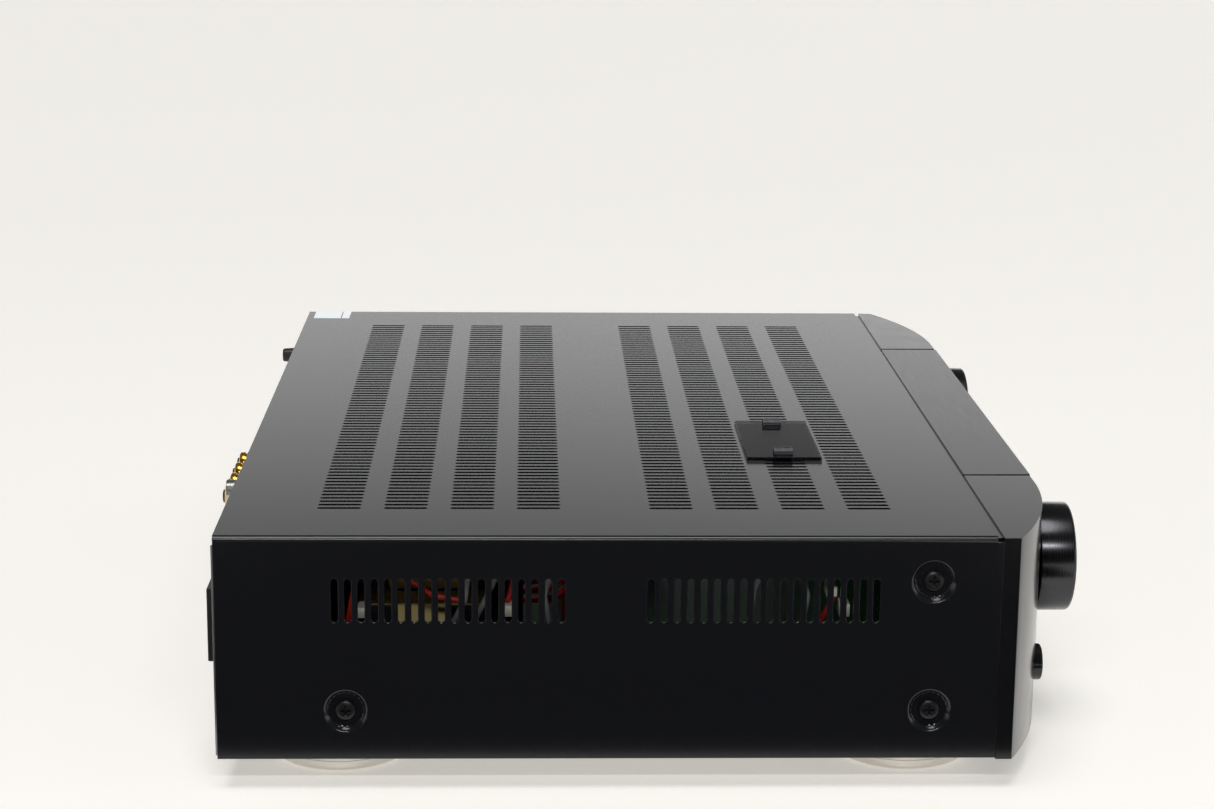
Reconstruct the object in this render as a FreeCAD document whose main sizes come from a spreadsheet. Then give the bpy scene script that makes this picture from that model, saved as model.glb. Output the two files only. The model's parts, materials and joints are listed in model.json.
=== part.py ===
import FreeCAD, Part
import Sketcher
import math
import os

# Stereo receiver, millimetres. Origin: bottom centre of the whole object, on the surface it
# stands on. +X is to the right seen from the front, -Y is the front, +Z is up.

os.makedirs("parts", exist_ok=True)
Vector = FreeCAD.Vector
doc = FreeCAD.newDocument("stereo_receiver")
nodes = {}

# ---------------------------------------------------------------- driving dimensions

DRIVING = {
    # case
    "case_width": 440.0,
    "cover_depth": 296.0,
    "cover_front": -134.5,      # Y of the front edge of the cover's sides
    "cover_setback": 2.5,       # the cover's top ends this far behind its sides
    "body_height": 87.7,
    "foot_height": 12.2,
    "cover_sheet": 1.0,
    "bend_radius": 2.0,
    "pan_sheet": 1.2,
    "pan_lift": 0.6,            # the base pan's underside above the cover's lower edge
    "pan_flange": 30.0,
    "frame_gap": 2.2,           # from the cover's inside to the frame's flanges
    # ventilation slots
    "slot_width": 2.5,
    "slot_length": 17.0,
    "slot_pitch": 5.0,
    "top_slot_count": 73.0,
    "column_pitch": 25.7,
    "column_count": 4.0,
    "top_slot_start": 37.6,     # from the front edge of the cover to the first column
    "side_slot_count": 18.0,
    "side_slot_start": 47.5,
    "side_group_pitch": 118.5,
    "side_slot_low": 54.2,
    # dished screw seats in the cover's sides
    "dish_outer": 8.4,
    "dish_floor": 6.4,
    "dish_depth": 2.2,
    "screw_front": 26.0,
    "screw_rear": 247.4,
    "screw_low": 19.2,
    "screw_high": 70.2,
    # front panel
    "fascia_depth": 27.0,
    "fascia_side": 6.2,
    "fascia_curve": 84.0,
    "fascia_wall": 3.0,
    "fascia_drop": 0.45,
    "end_width": 93.0,
    "groove": 2.0,
    "center_proud": 0.5,
    # controls
    "big_knob_x": 130.0,
    "big_knob_z": 66.2,
    "big_knob_radius": 22.3,
    "big_knob_length": 14.5,
    "knob_gap": 1.0,
    "shaft_radius": 2.95,
    "bush_clearance": 0.05,
    "bush_hole": 8.6,
    "row_z": 34.0,
    "power_x": 170.0,
    "power_radius": 7.25,
    "power_proud": 26.6,        # front of the power button, ahead of the cover's front edge
    "tone_radius": 8.5,
    "tone_length": 10.5,
    "tone_first": -55.0,
    "tone_pitch": 40.0,
    "button_radius": 4.5,
    "button_first": 74.0,
    "button_pitch": 18.0,
    "button_proud": 2.2,
    "jack_x": -98.0,
    "jack_bore": 3.25,
    "window_width": 160.0,
    "window_height": 36.0,
    "window_z": 70.0,
    # feet
    "foot_radius": 26.5,
    "foot_inset": 44.0,
    "foot_front": 30.4,
    "foot_rear": 43.9,
    "pad_height": 1.2,
    # rear
    "rear_inset": 1.0,
    "post_first": -50.4,
    "post_pitch": 18.8,
    "post_z": 69.7,
    "post_radius": 5.5,
    "post_bore": 2.9,
    "post_reach": 16.0,         # end of the posts behind the cover's rear edge
    "ground_x": 170.0,
    "ground_z": 86.2,
    "ground_radius": 3.9,
    "jack_first": 62.0,
    "jack_pitch": 20.0,
    "jack_low": 40.0,
    "jack_row": 20.0,
    "jack_radius": 4.15,
    "inlet_x": -190.0,
    "inlet_z": 59.7,
    "inlet_width": 25.0,
    "inlet_height": 29.0,
    "inlet_reach": 4.8,
    "antenna_x": -95.0,
    "antenna_z": 84.0,
    # inside
    "core_length": 76.0,
    "core_height": 64.0,
    "core_stack": 42.0,
    "transformer_x": -163.0,
    "transformer_y": 84.0,
    "board_z": 24.0,
    "board_sheet": 1.6,
    # loose fittings on the cover
    "clip_left": -105.0,
    "clip_width": 66.0,
    "clip_front": 56.0,
    "clip_depth": 31.5,
    "clip_sheet": 1.5,
    "clip_inset": 7.0,          # spring clips in from the plate's ends
    "clip_length": 8.4,
    "clip_foot": 0.5,
    "clip_rise": 2.8,
    "label_width": 20.5,
    "label_depth": 18.8,
    "label_sheet": 0.12,
}


def make_sheet():
    sheet = doc.addObject("Spreadsheet::Sheet", "Dims")
    for row, (alias, value) in enumerate(DRIVING.items(), start=1):
        sheet.set(f"A{row}", alias)
        sheet.set(f"B{row}", str(value))
        sheet.setAlias(f"B{row}", alias)
    doc.recompute()
    return sheet


sheet = make_sheet()


class Size:
    """A length together with the spreadsheet formula that gives it."""

    def __init__(self, value, formula):
        self.value = float(value)
        self.formula = formula

    def __add__(self, other):
        other = as_size(other)
        return Size(self.value + other.value, f"({self.formula} + {other.formula})")

    def __sub__(self, other):
        other = as_size(other)
        return Size(self.value - other.value, f"({self.formula} - {other.formula})")

    def __mul__(self, factor):
        factor = as_size(factor)
        return Size(self.value * factor.value, f"({self.formula} * {factor.formula})")

    def __truediv__(self, divisor):
        divisor = as_size(divisor)
        return Size(self.value / divisor.value, f"({self.formula} / {divisor.formula})")

    def __neg__(self):
        return Size(-self.value, f"(0 - {self.formula})")

    __radd__ = __add__
    __rmul__ = __mul__

    def __rsub__(self, other):
        return as_size(other) - self


def as_size(value):
    if isinstance(value, Size):
        return value
    return Size(value, f"({value})")


def dim(alias):
    return Size(sheet.get(alias), f"Dims.{alias}")


def bind(target, prop, value):
    target.setExpression(prop, as_size(value).formula)


def place(target, x, y, z, rotation=None):
    target.Placement = FreeCAD.Placement(Vector(0, 0, 0), rotation or FreeCAD.Rotation())
    for axis, value in zip("xyz", (x, y, z)):
        bind(target, f".Placement.Base.{axis}", value)


ALONG_Y = FreeCAD.Rotation(Vector(1, 0, 0), -90)    # turns +Z to +Y
ALONG_X = FreeCAD.Rotation(Vector(0, 1, 0), 90)     # turns +Z to +X
AGAINST_X = FreeCAD.Rotation(Vector(0, 1, 0), -90)  # turns +Z to -X

# ---------------------------------------------------------------- lengths used by many pieces

half_width = dim("case_width") / 2
floor_z = dim("foot_height")
top_z = floor_z + dim("body_height")
front_y = dim("cover_front")
rear_y = front_y + dim("cover_depth")
pan_z = floor_z + dim("pan_lift")
pan_top = pan_z + dim("pan_sheet")
frame_x = half_width - dim("cover_sheet") - dim("frame_gap")
frame_top = top_z - dim("cover_sheet") - 0.2
panel_out = rear_y - dim("rear_inset")
panel_in = panel_out - dim("pan_sheet")
center_x = half_width - dim("end_width") - dim("groove")
center_y = front_y - dim("fascia_depth") - dim("center_proud")
center_in = center_y + dim("fascia_wall")
chassis_in = front_y + dim("pan_sheet")

# ---------------------------------------------------------------- building blocks


def keep(node, piece):
    """Files a finished piece under its node's name."""
    piece.Label = node
    nodes[node] = piece
    return piece


def box(name, x, y, z):
    """A block between the low and high ends given on each axis."""
    block = doc.addObject("Part::Box", name)
    bind(block, "Length", as_size(x[1]) - x[0])
    bind(block, "Width", as_size(y[1]) - y[0])
    bind(block, "Height", as_size(z[1]) - z[0])
    place(block, x[0], y[0], z[0])
    return block


def rod(name, radius, along, x, y, z):
    """A cylinder; the axis it runs along has its low and high ends in place of one value."""
    cylinder = doc.addObject("Part::Cylinder", name)
    bind(cylinder, "Radius", radius)
    span = {"X": x, "Y": y, "Z": z}[along]
    bind(cylinder, "Height", as_size(span[1]) - span[0])
    start = [value[0] if axis == along else value for axis, value in zip("XYZ", (x, y, z))]
    turn = {"X": ALONG_X, "Y": ALONG_Y, "Z": None}[along]
    place(cylinder, *start, rotation=turn)
    return cylinder


def fuse(name, pieces):
    union = doc.addObject("Part::MultiFuse", name)
    union.Shapes = pieces
    return union


def cut(name, base, tools):
    tool = tools[0] if len(tools) == 1 else fuse(f"{name}_tools", tools)
    result = doc.addObject("Part::Cut", name)
    result.Base = base
    result.Tool = tool
    return result


def group(name, pieces):
    """Separate solids kept together."""
    bundle = doc.addObject("Part::Compound", name)
    bundle.Links = pieces
    return bundle


def new_body(name):
    return doc.addObject("PartDesign::Body", name)


def plane(body, role):
    return next(f for f in body.Origin.OriginFeatures if f.Role == role)


def hold(sketch, value, kind, *where):
    """Adds a constraint whose value follows a formula."""
    index = sketch.addConstraint(Sketcher.Constraint(kind, *where, value.value))
    sketch.setExpression(f"Constraints[{index}]", value.formula)


def pin_point(sketch, geometry, end, x, y):
    hold(sketch, x, "DistanceX", -1, 1, geometry, end)
    hold(sketch, y, "DistanceY", -1, 1, geometry, end)


def arc_through(start, end, radius, side):
    """An arc of the radius from start to end, bulging to the left (+1) or right (-1)."""
    chord = end - start
    half = chord.Length / 2
    sagitta = radius - math.sqrt(max(radius ** 2 - half ** 2, 0.0))
    left = Vector(-chord.y, chord.x, 0).normalize()
    middle = (start + end) / 2 + left * (sagitta * side)
    return Part.Arc(start, middle, end)


def add_outline(sketch, points):
    """A closed outline; a point with a radius and a side ends an arc instead of a line."""
    for index, point in enumerate(points):
        before = points[index - 1]
        x1, y1 = as_size(before[0]), as_size(before[1])
        x2, y2 = as_size(point[0]), as_size(point[1])
        start, end = Vector(x1.value, y1.value, 0), Vector(x2.value, y2.value, 0)
        if len(point) == 2:
            edge = sketch.addGeometry(Part.LineSegment(start, end), False)
        else:
            radius = as_size(point[2])
            edge = sketch.addGeometry(arc_through(start, end, radius.value, point[3]), False)
            if abs((end - start).Length - radius.value * 2) > 0.001:
                hold(sketch, radius, "Radius", edge)
            elif abs(end.y - start.y) < 0.001:
                hold(sketch, y1, "DistanceY", -1, 1, edge, 3)
            else:
                hold(sketch, x1, "DistanceX", -1, 1, edge, 3)
        forward = (sketch.getPoint(edge, 1) - start).Length < (sketch.getPoint(edge, 1) - end).Length
        pin_point(sketch, edge, 1 if forward else 2, x1, y1)
        pin_point(sketch, edge, 2 if forward else 1, x2, y2)


def add_circle(sketch, x, y, radius):
    x, y, radius = as_size(x), as_size(y), as_size(radius)
    circle = Part.Circle(Vector(x.value, y.value, 0), Vector(0, 0, 1), radius.value)
    edge = sketch.addGeometry(circle, False)
    pin_point(sketch, edge, 3, x, y)
    hold(sketch, radius, "Radius", edge)


def new_sketch(body, name, role, offset=(0, 0, 0)):
    sketch = body.newObject("Sketcher::SketchObject", name)
    sketch.AttachmentSupport = (plane(body, role), [""])
    sketch.MapMode = "FlatFace"
    for axis, value in zip("xyz", offset):
        bind(sketch, f".AttachmentOffset.Base.{axis}", value)
    return sketch


def pad(body, sketch, length, reverse=False):
    feature = body.newObject("PartDesign::Pad", f"{sketch.Name}_pad")
    feature.Profile = sketch
    bind(feature, "Length", length)
    feature.Reversed = reverse
    body.Tip = feature
    return feature


def pocket(body, sketch, length=None, reverse=False, both=False):
    """Cuts to a length, or through everything when no length is given."""
    feature = body.newObject("PartDesign::Pocket", f"{sketch.Name}_pocket")
    feature.Profile = sketch
    if length is None:
        feature.Type = "ThroughAll"
    else:
        bind(feature, "Length", length)
    feature.Reversed = reverse
    if both:
        feature.SideType = "Symmetric"
    body.Tip = feature
    return feature


def pattern(body, original, name, steps):
    """Repeats a feature along each (axis, spacing, count) in turn."""
    multi = body.newObject("PartDesign::MultiTransform", name)
    multi.Originals = [original]
    rows = []
    for number, (axis, spacing, count) in enumerate(steps):
        row = doc.addObject("PartDesign::LinearPattern", f"{name}_{number}")
        row.Direction = (plane(body, axis), [""])
        bind(row, "Length", as_size(spacing) * (as_size(count) - 1))
        bind(row, "Occurrences", count)
        rows.append(row)
    multi.Transformations = rows
    body.Tip = multi
    return multi


def turned(name, profile, x, y, z, rotation=ALONG_Y):
    """A lathe-turned piece from (radius, length along the axis) points, front or foot first."""
    body = new_body(name)
    sketch = new_sketch(body, f"{name}_profile", "XZ_Plane")
    add_outline(sketch, profile)
    feature = body.newObject("PartDesign::Revolution", f"{name}_turn")
    feature.Profile = sketch
    feature.ReferenceAxis = (sketch, ["V_Axis"])
    feature.Angle = 360
    body.Tip = feature
    place(body, x, y, z, rotation=rotation)
    return body


def slot_outline(sketch, x, y, width, length, along_y=True):
    """A slot with round ends; x and y are the middle of its low end."""
    r = width / 2
    if along_y:
        points = [(x - r, y + r), (x + r, y + r, r, -1), (x + r, y + length - r),
                  (x - r, y + length - r, r, -1)]
    else:
        points = [(x + r, y + r), (x + r, y - r, r, -1), (x + length - r, y - r),
                  (x + length - r, y + r, r, -1)]
    add_outline(sketch, points)


# ---------------------------------------------------------------- case


def make_top_cover():
    """Bent steel cover, top and two sides, with its slots and dished screw seats."""
    body = new_body("cover")
    w, t, r = half_width, dim("cover_sheet"), dim("bend_radius")
    section = new_sketch(body, "cover_section", "XZ_Plane")
    add_outline(section, [
        (-w, floor_z), (-w, top_z - r), (r - w, top_z, r, 1), (w - r, top_z),
        (w, top_z - r, r, 1), (w, floor_z), (w - t, floor_z), (w - t, top_z - r),
        (w - r, top_z - t, r - t, -1), (r - w, top_z - t), (t - w, top_z - r, r - t, -1),
        (t - w, floor_z)])
    pad(body, section, dim("cover_depth"))

    setback = new_sketch(body, "cover_setback", "XZ_Plane", (0, 0, dim("cover_depth")))
    add_outline(setback, [(-w - 1, top_z - r), (w + 1, top_z - r), (w + 1, top_z + 1), (-w - 1, top_z + 1)])
    pocket(body, setback, dim("cover_setback"))

    make_dishes(body)

    side = new_sketch(body, "side_slot", "YZ_Plane")
    slot_outline(side, dim("side_slot_start") - dim("cover_depth"), floor_z + dim("side_slot_low"),
                 dim("slot_width"), dim("slot_length"))
    first = pocket(body, side, dim("case_width") + 2, both=True)
    pattern(body, first, "side_slots", [
        ("Y_Axis", dim("slot_pitch"), dim("side_slot_count")),
        ("Y_Axis", dim("side_group_pitch"), 2)])

    top = new_sketch(body, "top_slot", "XY_Plane", (0, 0, top_z + 1))
    row_x = -dim("slot_pitch") * (dim("top_slot_count") - 1) / 2
    slot_outline(top, row_x, dim("top_slot_start") - dim("cover_depth"),
                 dim("slot_width"), dim("slot_length"))
    first = pocket(body, top, dim("cover_sheet") + 2)
    pattern(body, first, "top_slots", [
        ("X_Axis", dim("slot_pitch"), dim("top_slot_count")),
        ("Y_Axis", dim("column_pitch"), dim("column_count")),
        ("Y_Axis", dim("column_pitch") * 5, 2)])
    place(body, 0, rear_y, 0)
    return keep("top_cover", body)


def screw_places():
    """Distance behind the cover's front edge, and height above its lower edge."""
    return [(dim("screw_front"), dim("screw_high")), (dim("screw_front"), dim("screw_low")),
            (dim("screw_rear"), dim("screw_low"))]


def make_dishes(body):
    """Six dished seats: a plug is added inside the sheet, then the dish and hole are cut."""
    t, depth = dim("cover_sheet"), dim("dish_depth")
    rim, low = dim("dish_outer"), dim("dish_floor")
    for number, (behind, height) in enumerate(screw_places()):
        for side in (-1, 1):
            face = half_width * side
            inward = t * -side
            offset = (0, behind - dim("cover_depth"), floor_z + height)
            tag = f"dish_{number}_{'right' if side > 0 else 'left'}"
            plug = new_sketch(body, f"{tag}_plug", "XY_Plane", offset)
            back = face + inward + depth * -side
            add_outline(plug, [(face + inward / 2, 0), (face + inward / 2, rim + t),
                               (face + inward, rim + t), (back, low + t), (back, 0)])
            revolve(body, plug, "PartDesign::Revolution")
            hollow = new_sketch(body, f"{tag}_hollow", "XY_Plane", offset)
            add_outline(hollow, [(face + side, 0), (face + side, rim + 0.4), (face, rim),
                                 (face + depth * -side, low), (face + depth * -side, 2.2),
                                 (back - side, 2.2), (back - side, 0)])
            revolve(body, hollow, "PartDesign::Groove")


def revolve(body, sketch, kind):
    feature = body.newObject(kind, f"{sketch.Name}_turn")
    feature.Profile = sketch
    feature.ReferenceAxis = (sketch, ["H_Axis"])
    feature.Angle = 360
    body.Tip = feature


def foot_places():
    """Name, X and Y of each foot."""
    x = half_width - dim("foot_inset")
    front, rear = front_y + dim("foot_front"), rear_y - dim("foot_rear")
    return [("front_left", -x, front), ("front_right", x, front),
            ("rear_left", -x, rear), ("rear_right", x, rear)]


def make_base_pan():
    """Steel tray under everything, with side flanges, foot holes and floor vents."""
    body = new_body("pan")
    x, t = frame_x, dim("pan_sheet")
    rim = pan_z + dim("pan_flange")
    length = panel_in - chassis_in
    section = new_sketch(body, "pan_section", "XZ_Plane")
    add_outline(section, [(-x, rim), (-x, pan_z), (x, pan_z), (x, rim),
                          (x - t, rim), (x - t, pan_top), (t - x, pan_top), (t - x, rim)])
    pad(body, section, length)
    holes = new_sketch(body, "pan_holes", "XY_Plane")
    for name, foot_x, foot_y in foot_places():
        add_circle(holes, foot_x, foot_y - panel_in, 2.2)
    pocket(body, holes, reverse=True)
    vent = new_sketch(body, "pan_vent", "XY_Plane")
    slot_outline(vent, as_size(-102), as_size(-180), as_size(4), as_size(40))
    first = pocket(body, vent, reverse=True)
    pattern(body, first, "pan_vents", [("X_Axis", 12, 18), ("Y_Axis", 60, 2)])
    sides = new_sketch(body, "pan_side_holes", "YZ_Plane")
    for behind in (dim("screw_front"), dim("screw_rear")):
        add_circle(sides, front_y + behind - panel_in, floor_z + dim("screw_low"), 2)
    pocket(body, sides, dim("case_width"), both=True)
    place(body, 0, panel_in, 0)
    return keep("base_pan", body)


def make_front_chassis():
    """Inner steel panel that the controls are bolted to, with flanges for the cover."""
    x, t = frame_x, dim("pan_sheet")
    shelf = pan_z + dim("pan_flange") + 0.4
    plate = box("chassis_plate", (-x, x), (front_y, chassis_in), (pan_top + 0.2, frame_top))
    left = box("chassis_left", (-x, t - x), (front_y, front_y + 38), (shelf, frame_top))
    right = box("chassis_right", (x - t, x), (front_y, front_y + 38), (shelf, frame_top))
    lid = box("chassis_lid", (-x, x), (front_y, front_y + 16), (frame_top - t, frame_top))
    holes = [rod("chassis_side_hole", 2, "X", (-x - 1, x + 1), front_y + dim("screw_front"),
                 floor_z + dim("screw_high"))]
    through = (front_y - 1, chassis_in + 1)
    for number, knob_x in enumerate((-dim("big_knob_x"), dim("big_knob_x"))):
        holes.append(rod(f"chassis_bush_{number}", 4.7, "Y", knob_x, through, dim("big_knob_z")))
    holes.append(rod("chassis_power", 3.2, "Y", -dim("power_x"), through, dim("row_z")))
    holes.append(rod("chassis_jack", 9, "Y", dim("jack_x"), through, dim("row_z")))
    holes.append(box("chassis_cable", (-40, 40), through, (dim("window_z") - 12, dim("window_z") + 12)))
    shell = fuse("chassis_sheet", [plate, left, right, lid])
    return keep("front_chassis", cut("chassis", shell, holes))


def make_rear_panel():
    """Steel rear panel with flanges and a hole for each connector."""
    x, t = half_width - dim("cover_sheet") - 0.5, dim("pan_sheet")
    plate = box("rear_plate", (-x, x), (panel_in, panel_out), (pan_z, frame_top))
    lid = box("rear_lid", (-x, x), (panel_out - 16, panel_out), (frame_top - t, frame_top))
    left = box("rear_left", (-x, t - x), (panel_out - 14, panel_out), (pan_z, frame_top))
    right = box("rear_right", (x - t, x), (panel_out - 14, panel_out), (pan_z, frame_top))
    shell = fuse("rear_sheet", [plate, lid, left, right])
    through = (panel_in - 1, panel_out + 1)
    holes = []
    for number, post_x in enumerate(post_places()):
        holes.append(rod(f"rear_post_{number}", 5, "Y", post_x, through, dim("post_z")))
    for number, (jack_x, jack_z) in enumerate(jack_places()):
        holes.append(rod(f"rear_jack_{number}", 6, "Y", jack_x, through, jack_z))
    holes.append(rod("rear_ground", 2, "Y", dim("ground_x"), through, dim("ground_z")))
    holes.append(rod("rear_antenna", 5.2, "Y", dim("antenna_x"), through, dim("antenna_z")))
    wide, tall = dim("inlet_width") / 2 - 1.5, dim("inlet_height") / 2 - 1.5
    holes.append(box("rear_inlet", (dim("inlet_x") - wide, dim("inlet_x") + wide), through,
                     (dim("inlet_z") - tall, dim("inlet_z") + tall)))
    for number, screw_x in enumerate(rear_screw_places()):
        holes.append(rod(f"rear_screw_{number}", 1.6, "Y", screw_x, through, pan_z + 8))
    return keep("rear_panel", cut("rear", shell, holes))


# ---------------------------------------------------------------- front panel


def end_outline(inset, side):
    """Plan of an end of the front panel, drawn in from its outer face by inset."""
    width, curve = half_width, dim("fascia_curve")
    drop = dim("fascia_depth") - dim("fascia_side")
    radius = (curve * curve + drop * drop) / (drop * 2)
    face = front_y - dim("fascia_depth")
    inner = half_width - dim("end_width")
    outline = [(width - inset, front_y), (width - inset, front_y - dim("fascia_side") + inset * 0.9),
               (width - curve, face + inset, radius - inset, 1), (inner + inset * 0.8, face + inset),
               (inner + inset * 0.8, front_y)]
    if side < 0:
        return [(-point[0], point[1], *point[2:3], *(-value for value in point[3:4]))
                for point in outline]
    return outline


def make_end(name, side):
    """Curved end of the front panel, a hollow moulding open at the back."""
    body = new_body(name)
    low, high = floor_z - dim("fascia_drop"), top_z - dim("fascia_drop")
    wall = dim("fascia_wall")
    outer = new_sketch(body, f"{name}_outer", "XY_Plane", (0, 0, low))
    add_outline(outer, end_outline(as_size(0), side))
    pad(body, outer, high - low)
    inner = new_sketch(body, f"{name}_inner", "XY_Plane", (0, 0, low + wall))
    add_outline(inner, end_outline(wall, side))
    pocket(body, inner, high - low - wall * 2, reverse=True)
    holes = new_sketch(body, f"{name}_holes", "XZ_Plane", (0, 0, -front_y - 1))
    add_circle(holes, dim("big_knob_x") * side, dim("big_knob_z"), dim("bush_hole"))
    if side < 0:
        add_circle(holes, -dim("power_x"), dim("row_z"), dim("power_radius") + 0.35)
    pocket(body, holes, dim("fascia_depth") + 4, reverse=True)
    return body


def make_center():
    """Flat middle of the front panel, a tray open at the back."""
    low, high = floor_z - dim("fascia_drop"), top_z - dim("fascia_drop")
    x, wall = center_x, dim("fascia_wall")
    block = box("center_block", (-x, x), (center_y, front_y), (low, high))
    hollow = box("center_hollow", (wall - x, x - wall), (center_in, front_y + 1),
                 (low + wall, high - wall))
    through = (center_y - 1, center_in + 1)
    holes = [hollow]
    for number, knob_x in enumerate((-dim("big_knob_x"), dim("big_knob_x"))):
        holes.append(rod(f"center_bush_{number}", dim("bush_hole"), "Y", knob_x, (center_y - 1, center_in + 6),
                         dim("big_knob_z")))
    for number, (name, knob_x) in enumerate(tone_places()):
        holes.append(rod(f"center_tone_{number}", 3.8, "Y", knob_x, through, dim("row_z")))
    for number, (name, button_x) in enumerate(button_places()):
        holes.append(rod(f"center_button_{number}", dim("button_radius") + 0.35, "Y", button_x,
                         through, dim("row_z")))
    holes.append(rod("center_jack", 5.6, "Y", dim("jack_x"), through, dim("row_z")))
    half, tall = dim("window_width") / 2 + 0.2, dim("window_height") / 2 + 0.2
    holes.append(box("center_window", (-half, half), through,
                     (dim("window_z") - tall, dim("window_z") + tall)))
    return keep("fascia_center", cut("center", block, holes))


def make_display():
    half, tall = dim("window_width") / 2, dim("window_height") / 2
    z = dim("window_z")
    pane = box("window_pane", (-half, half), (center_y, center_in), (z - tall, z + tall))
    lip = box("window_lip", (-half - 3, half + 3), (center_in, center_in + 1),
              (z - tall - 3, z + tall + 3))
    keep("display_window", fuse("window", [pane, lip]))
    glass = box("display_tube", (-72, 72), (center_in + 2, center_in + 9), (z - 14, z + 14))
    board = box("display_card", (-84, 84), (center_in + 9, center_in + 10.6), (z - 20, z + 20))
    return keep("display_board", group("display", [glass, board]))


# ---------------------------------------------------------------- controls


def big_knob_profile():
    r, length = dim("big_knob_radius"), dim("big_knob_length")
    hub = length - 1
    return [(0, 0.8), (r - 2.8, 0.8), (r - 2, 0), (r - 0.6, 0), (r, 0.6), (r, length),
            (r - 2, length), (r - 2, 3.5), (6.5, 3.5), (6.5, hub), (3, hub), (3, 4.5), (0, 4.5)]


def make_big_knob(name, side, control):
    """Knob, its shaft, and the control behind the chassis that carries the shaft."""
    x, z = dim("big_knob_x") * side, dim("big_knob_z")
    knob_front = center_y - dim("knob_gap") - dim("big_knob_length")
    keep(f"{name}_knob", turned(f"{name}_knob_body", big_knob_profile(), x, knob_front, z))
    shaft = rod(f"{name}_shaft_rod", dim("shaft_radius"), "Y", x, (knob_front + 5, chassis_in + 5), z)
    keep(f"{name}_shaft", shaft)
    bore = dim("shaft_radius") + dim("bush_clearance")
    bush_front = front_y - 7
    profile = [(bore, 0), (4.5, 0), (4.5, 7 + dim("pan_sheet")), (13, 7 + dim("pan_sheet")),
               (13, 20), (0, 20), (0, 16), (bore, 16)]
    keep(control, turned(f"{name}_control", profile, x, bush_front, z))


def tone_places():
    names = ("bass", "treble", "balance")
    return [(name, dim("tone_first") + dim("tone_pitch") * number)
            for number, name in enumerate(names)]


def button_places():
    names = ("speaker_button", "tone_button", "display_button")
    return [(name, dim("button_first") + dim("button_pitch") * number)
            for number, name in enumerate(names)]


board_front = center_in + 13.0


def make_tone_knobs():
    """Small knobs with their stems, which turn in the potentiometers of the control board."""
    r, length = dim("tone_radius"), dim("tone_length")
    stem_end = length + 0.8 + dim("fascia_wall") + 11
    for name, x in tone_places():
        profile = [(0, 0), (r - 0.7, 0), (r, 0.7), (r, length), (r - 1.8, length), (r - 1.8, 3),
                   (3, 3), (3, stem_end), (0, stem_end)]
        knob = turned(f"{name}_knob_body", profile, x, center_y - 0.8 - length, dim("row_z"))
        keep(f"{name}_knob", knob)


def make_control_board():
    """Board behind the small controls, with three potentiometers and three key switches."""
    z = dim("row_z")
    pieces = [box("tone_card", (-76, 122), (board_front, board_front + 1.6), (z - 12, z + 12))]
    for name, x in tone_places():
        block = box(f"{name}_pot_block", (x - 6, x + 6), (board_front - 8, board_front),
                    (z - 6, z + 6))
        hole = rod(f"{name}_pot_hole", 3.05, "Y", x, (board_front - 9, board_front + 1), z)
        pieces.append(cut(f"{name}_pot", block, [hole]))
    for name, x in button_places():
        pieces.append(box(f"{name}_switch", (x - 3, x + 3), (board_front - 2.6, board_front),
                          (z - 3, z + 3)))
    return keep("control_board", group("controls", pieces))


def make_buttons():
    r = dim("button_radius")
    reach = dim("button_proud") + dim("fascia_wall")
    tip = reach + 8.4
    for name, x in button_places():
        profile = [(0, 0), (r - 0.8, 0), (r, 0.8), (r, reach + 0.4), (r + 1, reach + 0.4),
                   (r + 1, reach + 1.6), (1.5, reach + 1.6), (1.5, tip), (0, tip)]
        keep(name, turned(f"{name}_body", profile, x, center_y - dim("button_proud"), dim("row_z")))


def make_power_button():
    """Domed mains button with its plunger, and the switch that the plunger runs in."""
    r = dim("power_radius")
    front = front_y - dim("power_proud")
    collar = 8.3
    tip = 31
    x, z = -dim("power_x"), dim("row_z")
    dome = r * r / (0.9 * 2) + 0.45
    profile = [(0, 0), (r - 0.3, 0.9, dome, -1), (r, 1.3), (r, collar), (r + 1.6, collar),
               (r + 1.6, collar + 1.6), (2.5, collar + 1.6), (2.5, tip), (0, tip)]
    keep("power_button", turned("power_button_body", profile, x, front, z))
    block = box("power_switch_block", (x - 8, x + 8), (chassis_in, chassis_in + 18), (z - 7, z + 7))
    well = rod("power_switch_well", 2.8, "Y", x, (chassis_in - 1, chassis_in + 9), z)
    keep("power_switch", cut("power_switch_body", block, [well]))


def make_headphone_jack():
    """Quarter-inch socket: front ring in the panel, barrel and housing behind it."""
    bore = dim("jack_bore")
    profile = [(bore, 0), (6.8, 0), (6.8, 1), (5.5, 1), (5.5, 5), (8.5, 5), (8.5, 34), (0, 34),
               (0, 33), (bore, 33)]
    jack = turned("headphone_jack_body", profile, dim("jack_x"), center_y - 1, dim("row_z"))
    return keep("headphone_jack", jack)


# ---------------------------------------------------------------- feet and screws


def make_feet():
    r, pad_top = dim("foot_radius"), dim("pad_height")
    profile = [(3, pan_z - 4.5), (8, pan_z - 4.5), (8, pad_top), (9, pad_top), (9, 0.8),
               (r - 1.6, 0.8), (r, 2.2), (r, pan_z - 1), (r - 1, pan_z), (3, pan_z)]
    pads = []
    screws = []
    upright = FreeCAD.Rotation()
    for name, x, y in foot_places():
        keep(f"foot_{name}", turned(f"foot_{name}_body", profile, x, y, 0, rotation=upright))
        pad_profile = [(11, 0), (r - 3, 0), (r - 3, 0.8), (11, 0.8)]
        pads.append(turned(f"pad_{name}", pad_profile, x, y, 0, rotation=upright))
        screw = [(0, pan_z - 6.7), (3.6, pan_z - 6.7), (4, pan_z - 6.3), (4, pan_z - 4.5),
                 (2, pan_z - 4.5), (2, pan_top + 1.5), (0, pan_top + 1.5)]
        screws.append(turned(f"foot_screw_{name}", screw, x, y, 0, rotation=upright))
    keep("foot_pads", group("pads", pads))
    keep("foot_screws", group("foot_fasteners", screws))


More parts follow.
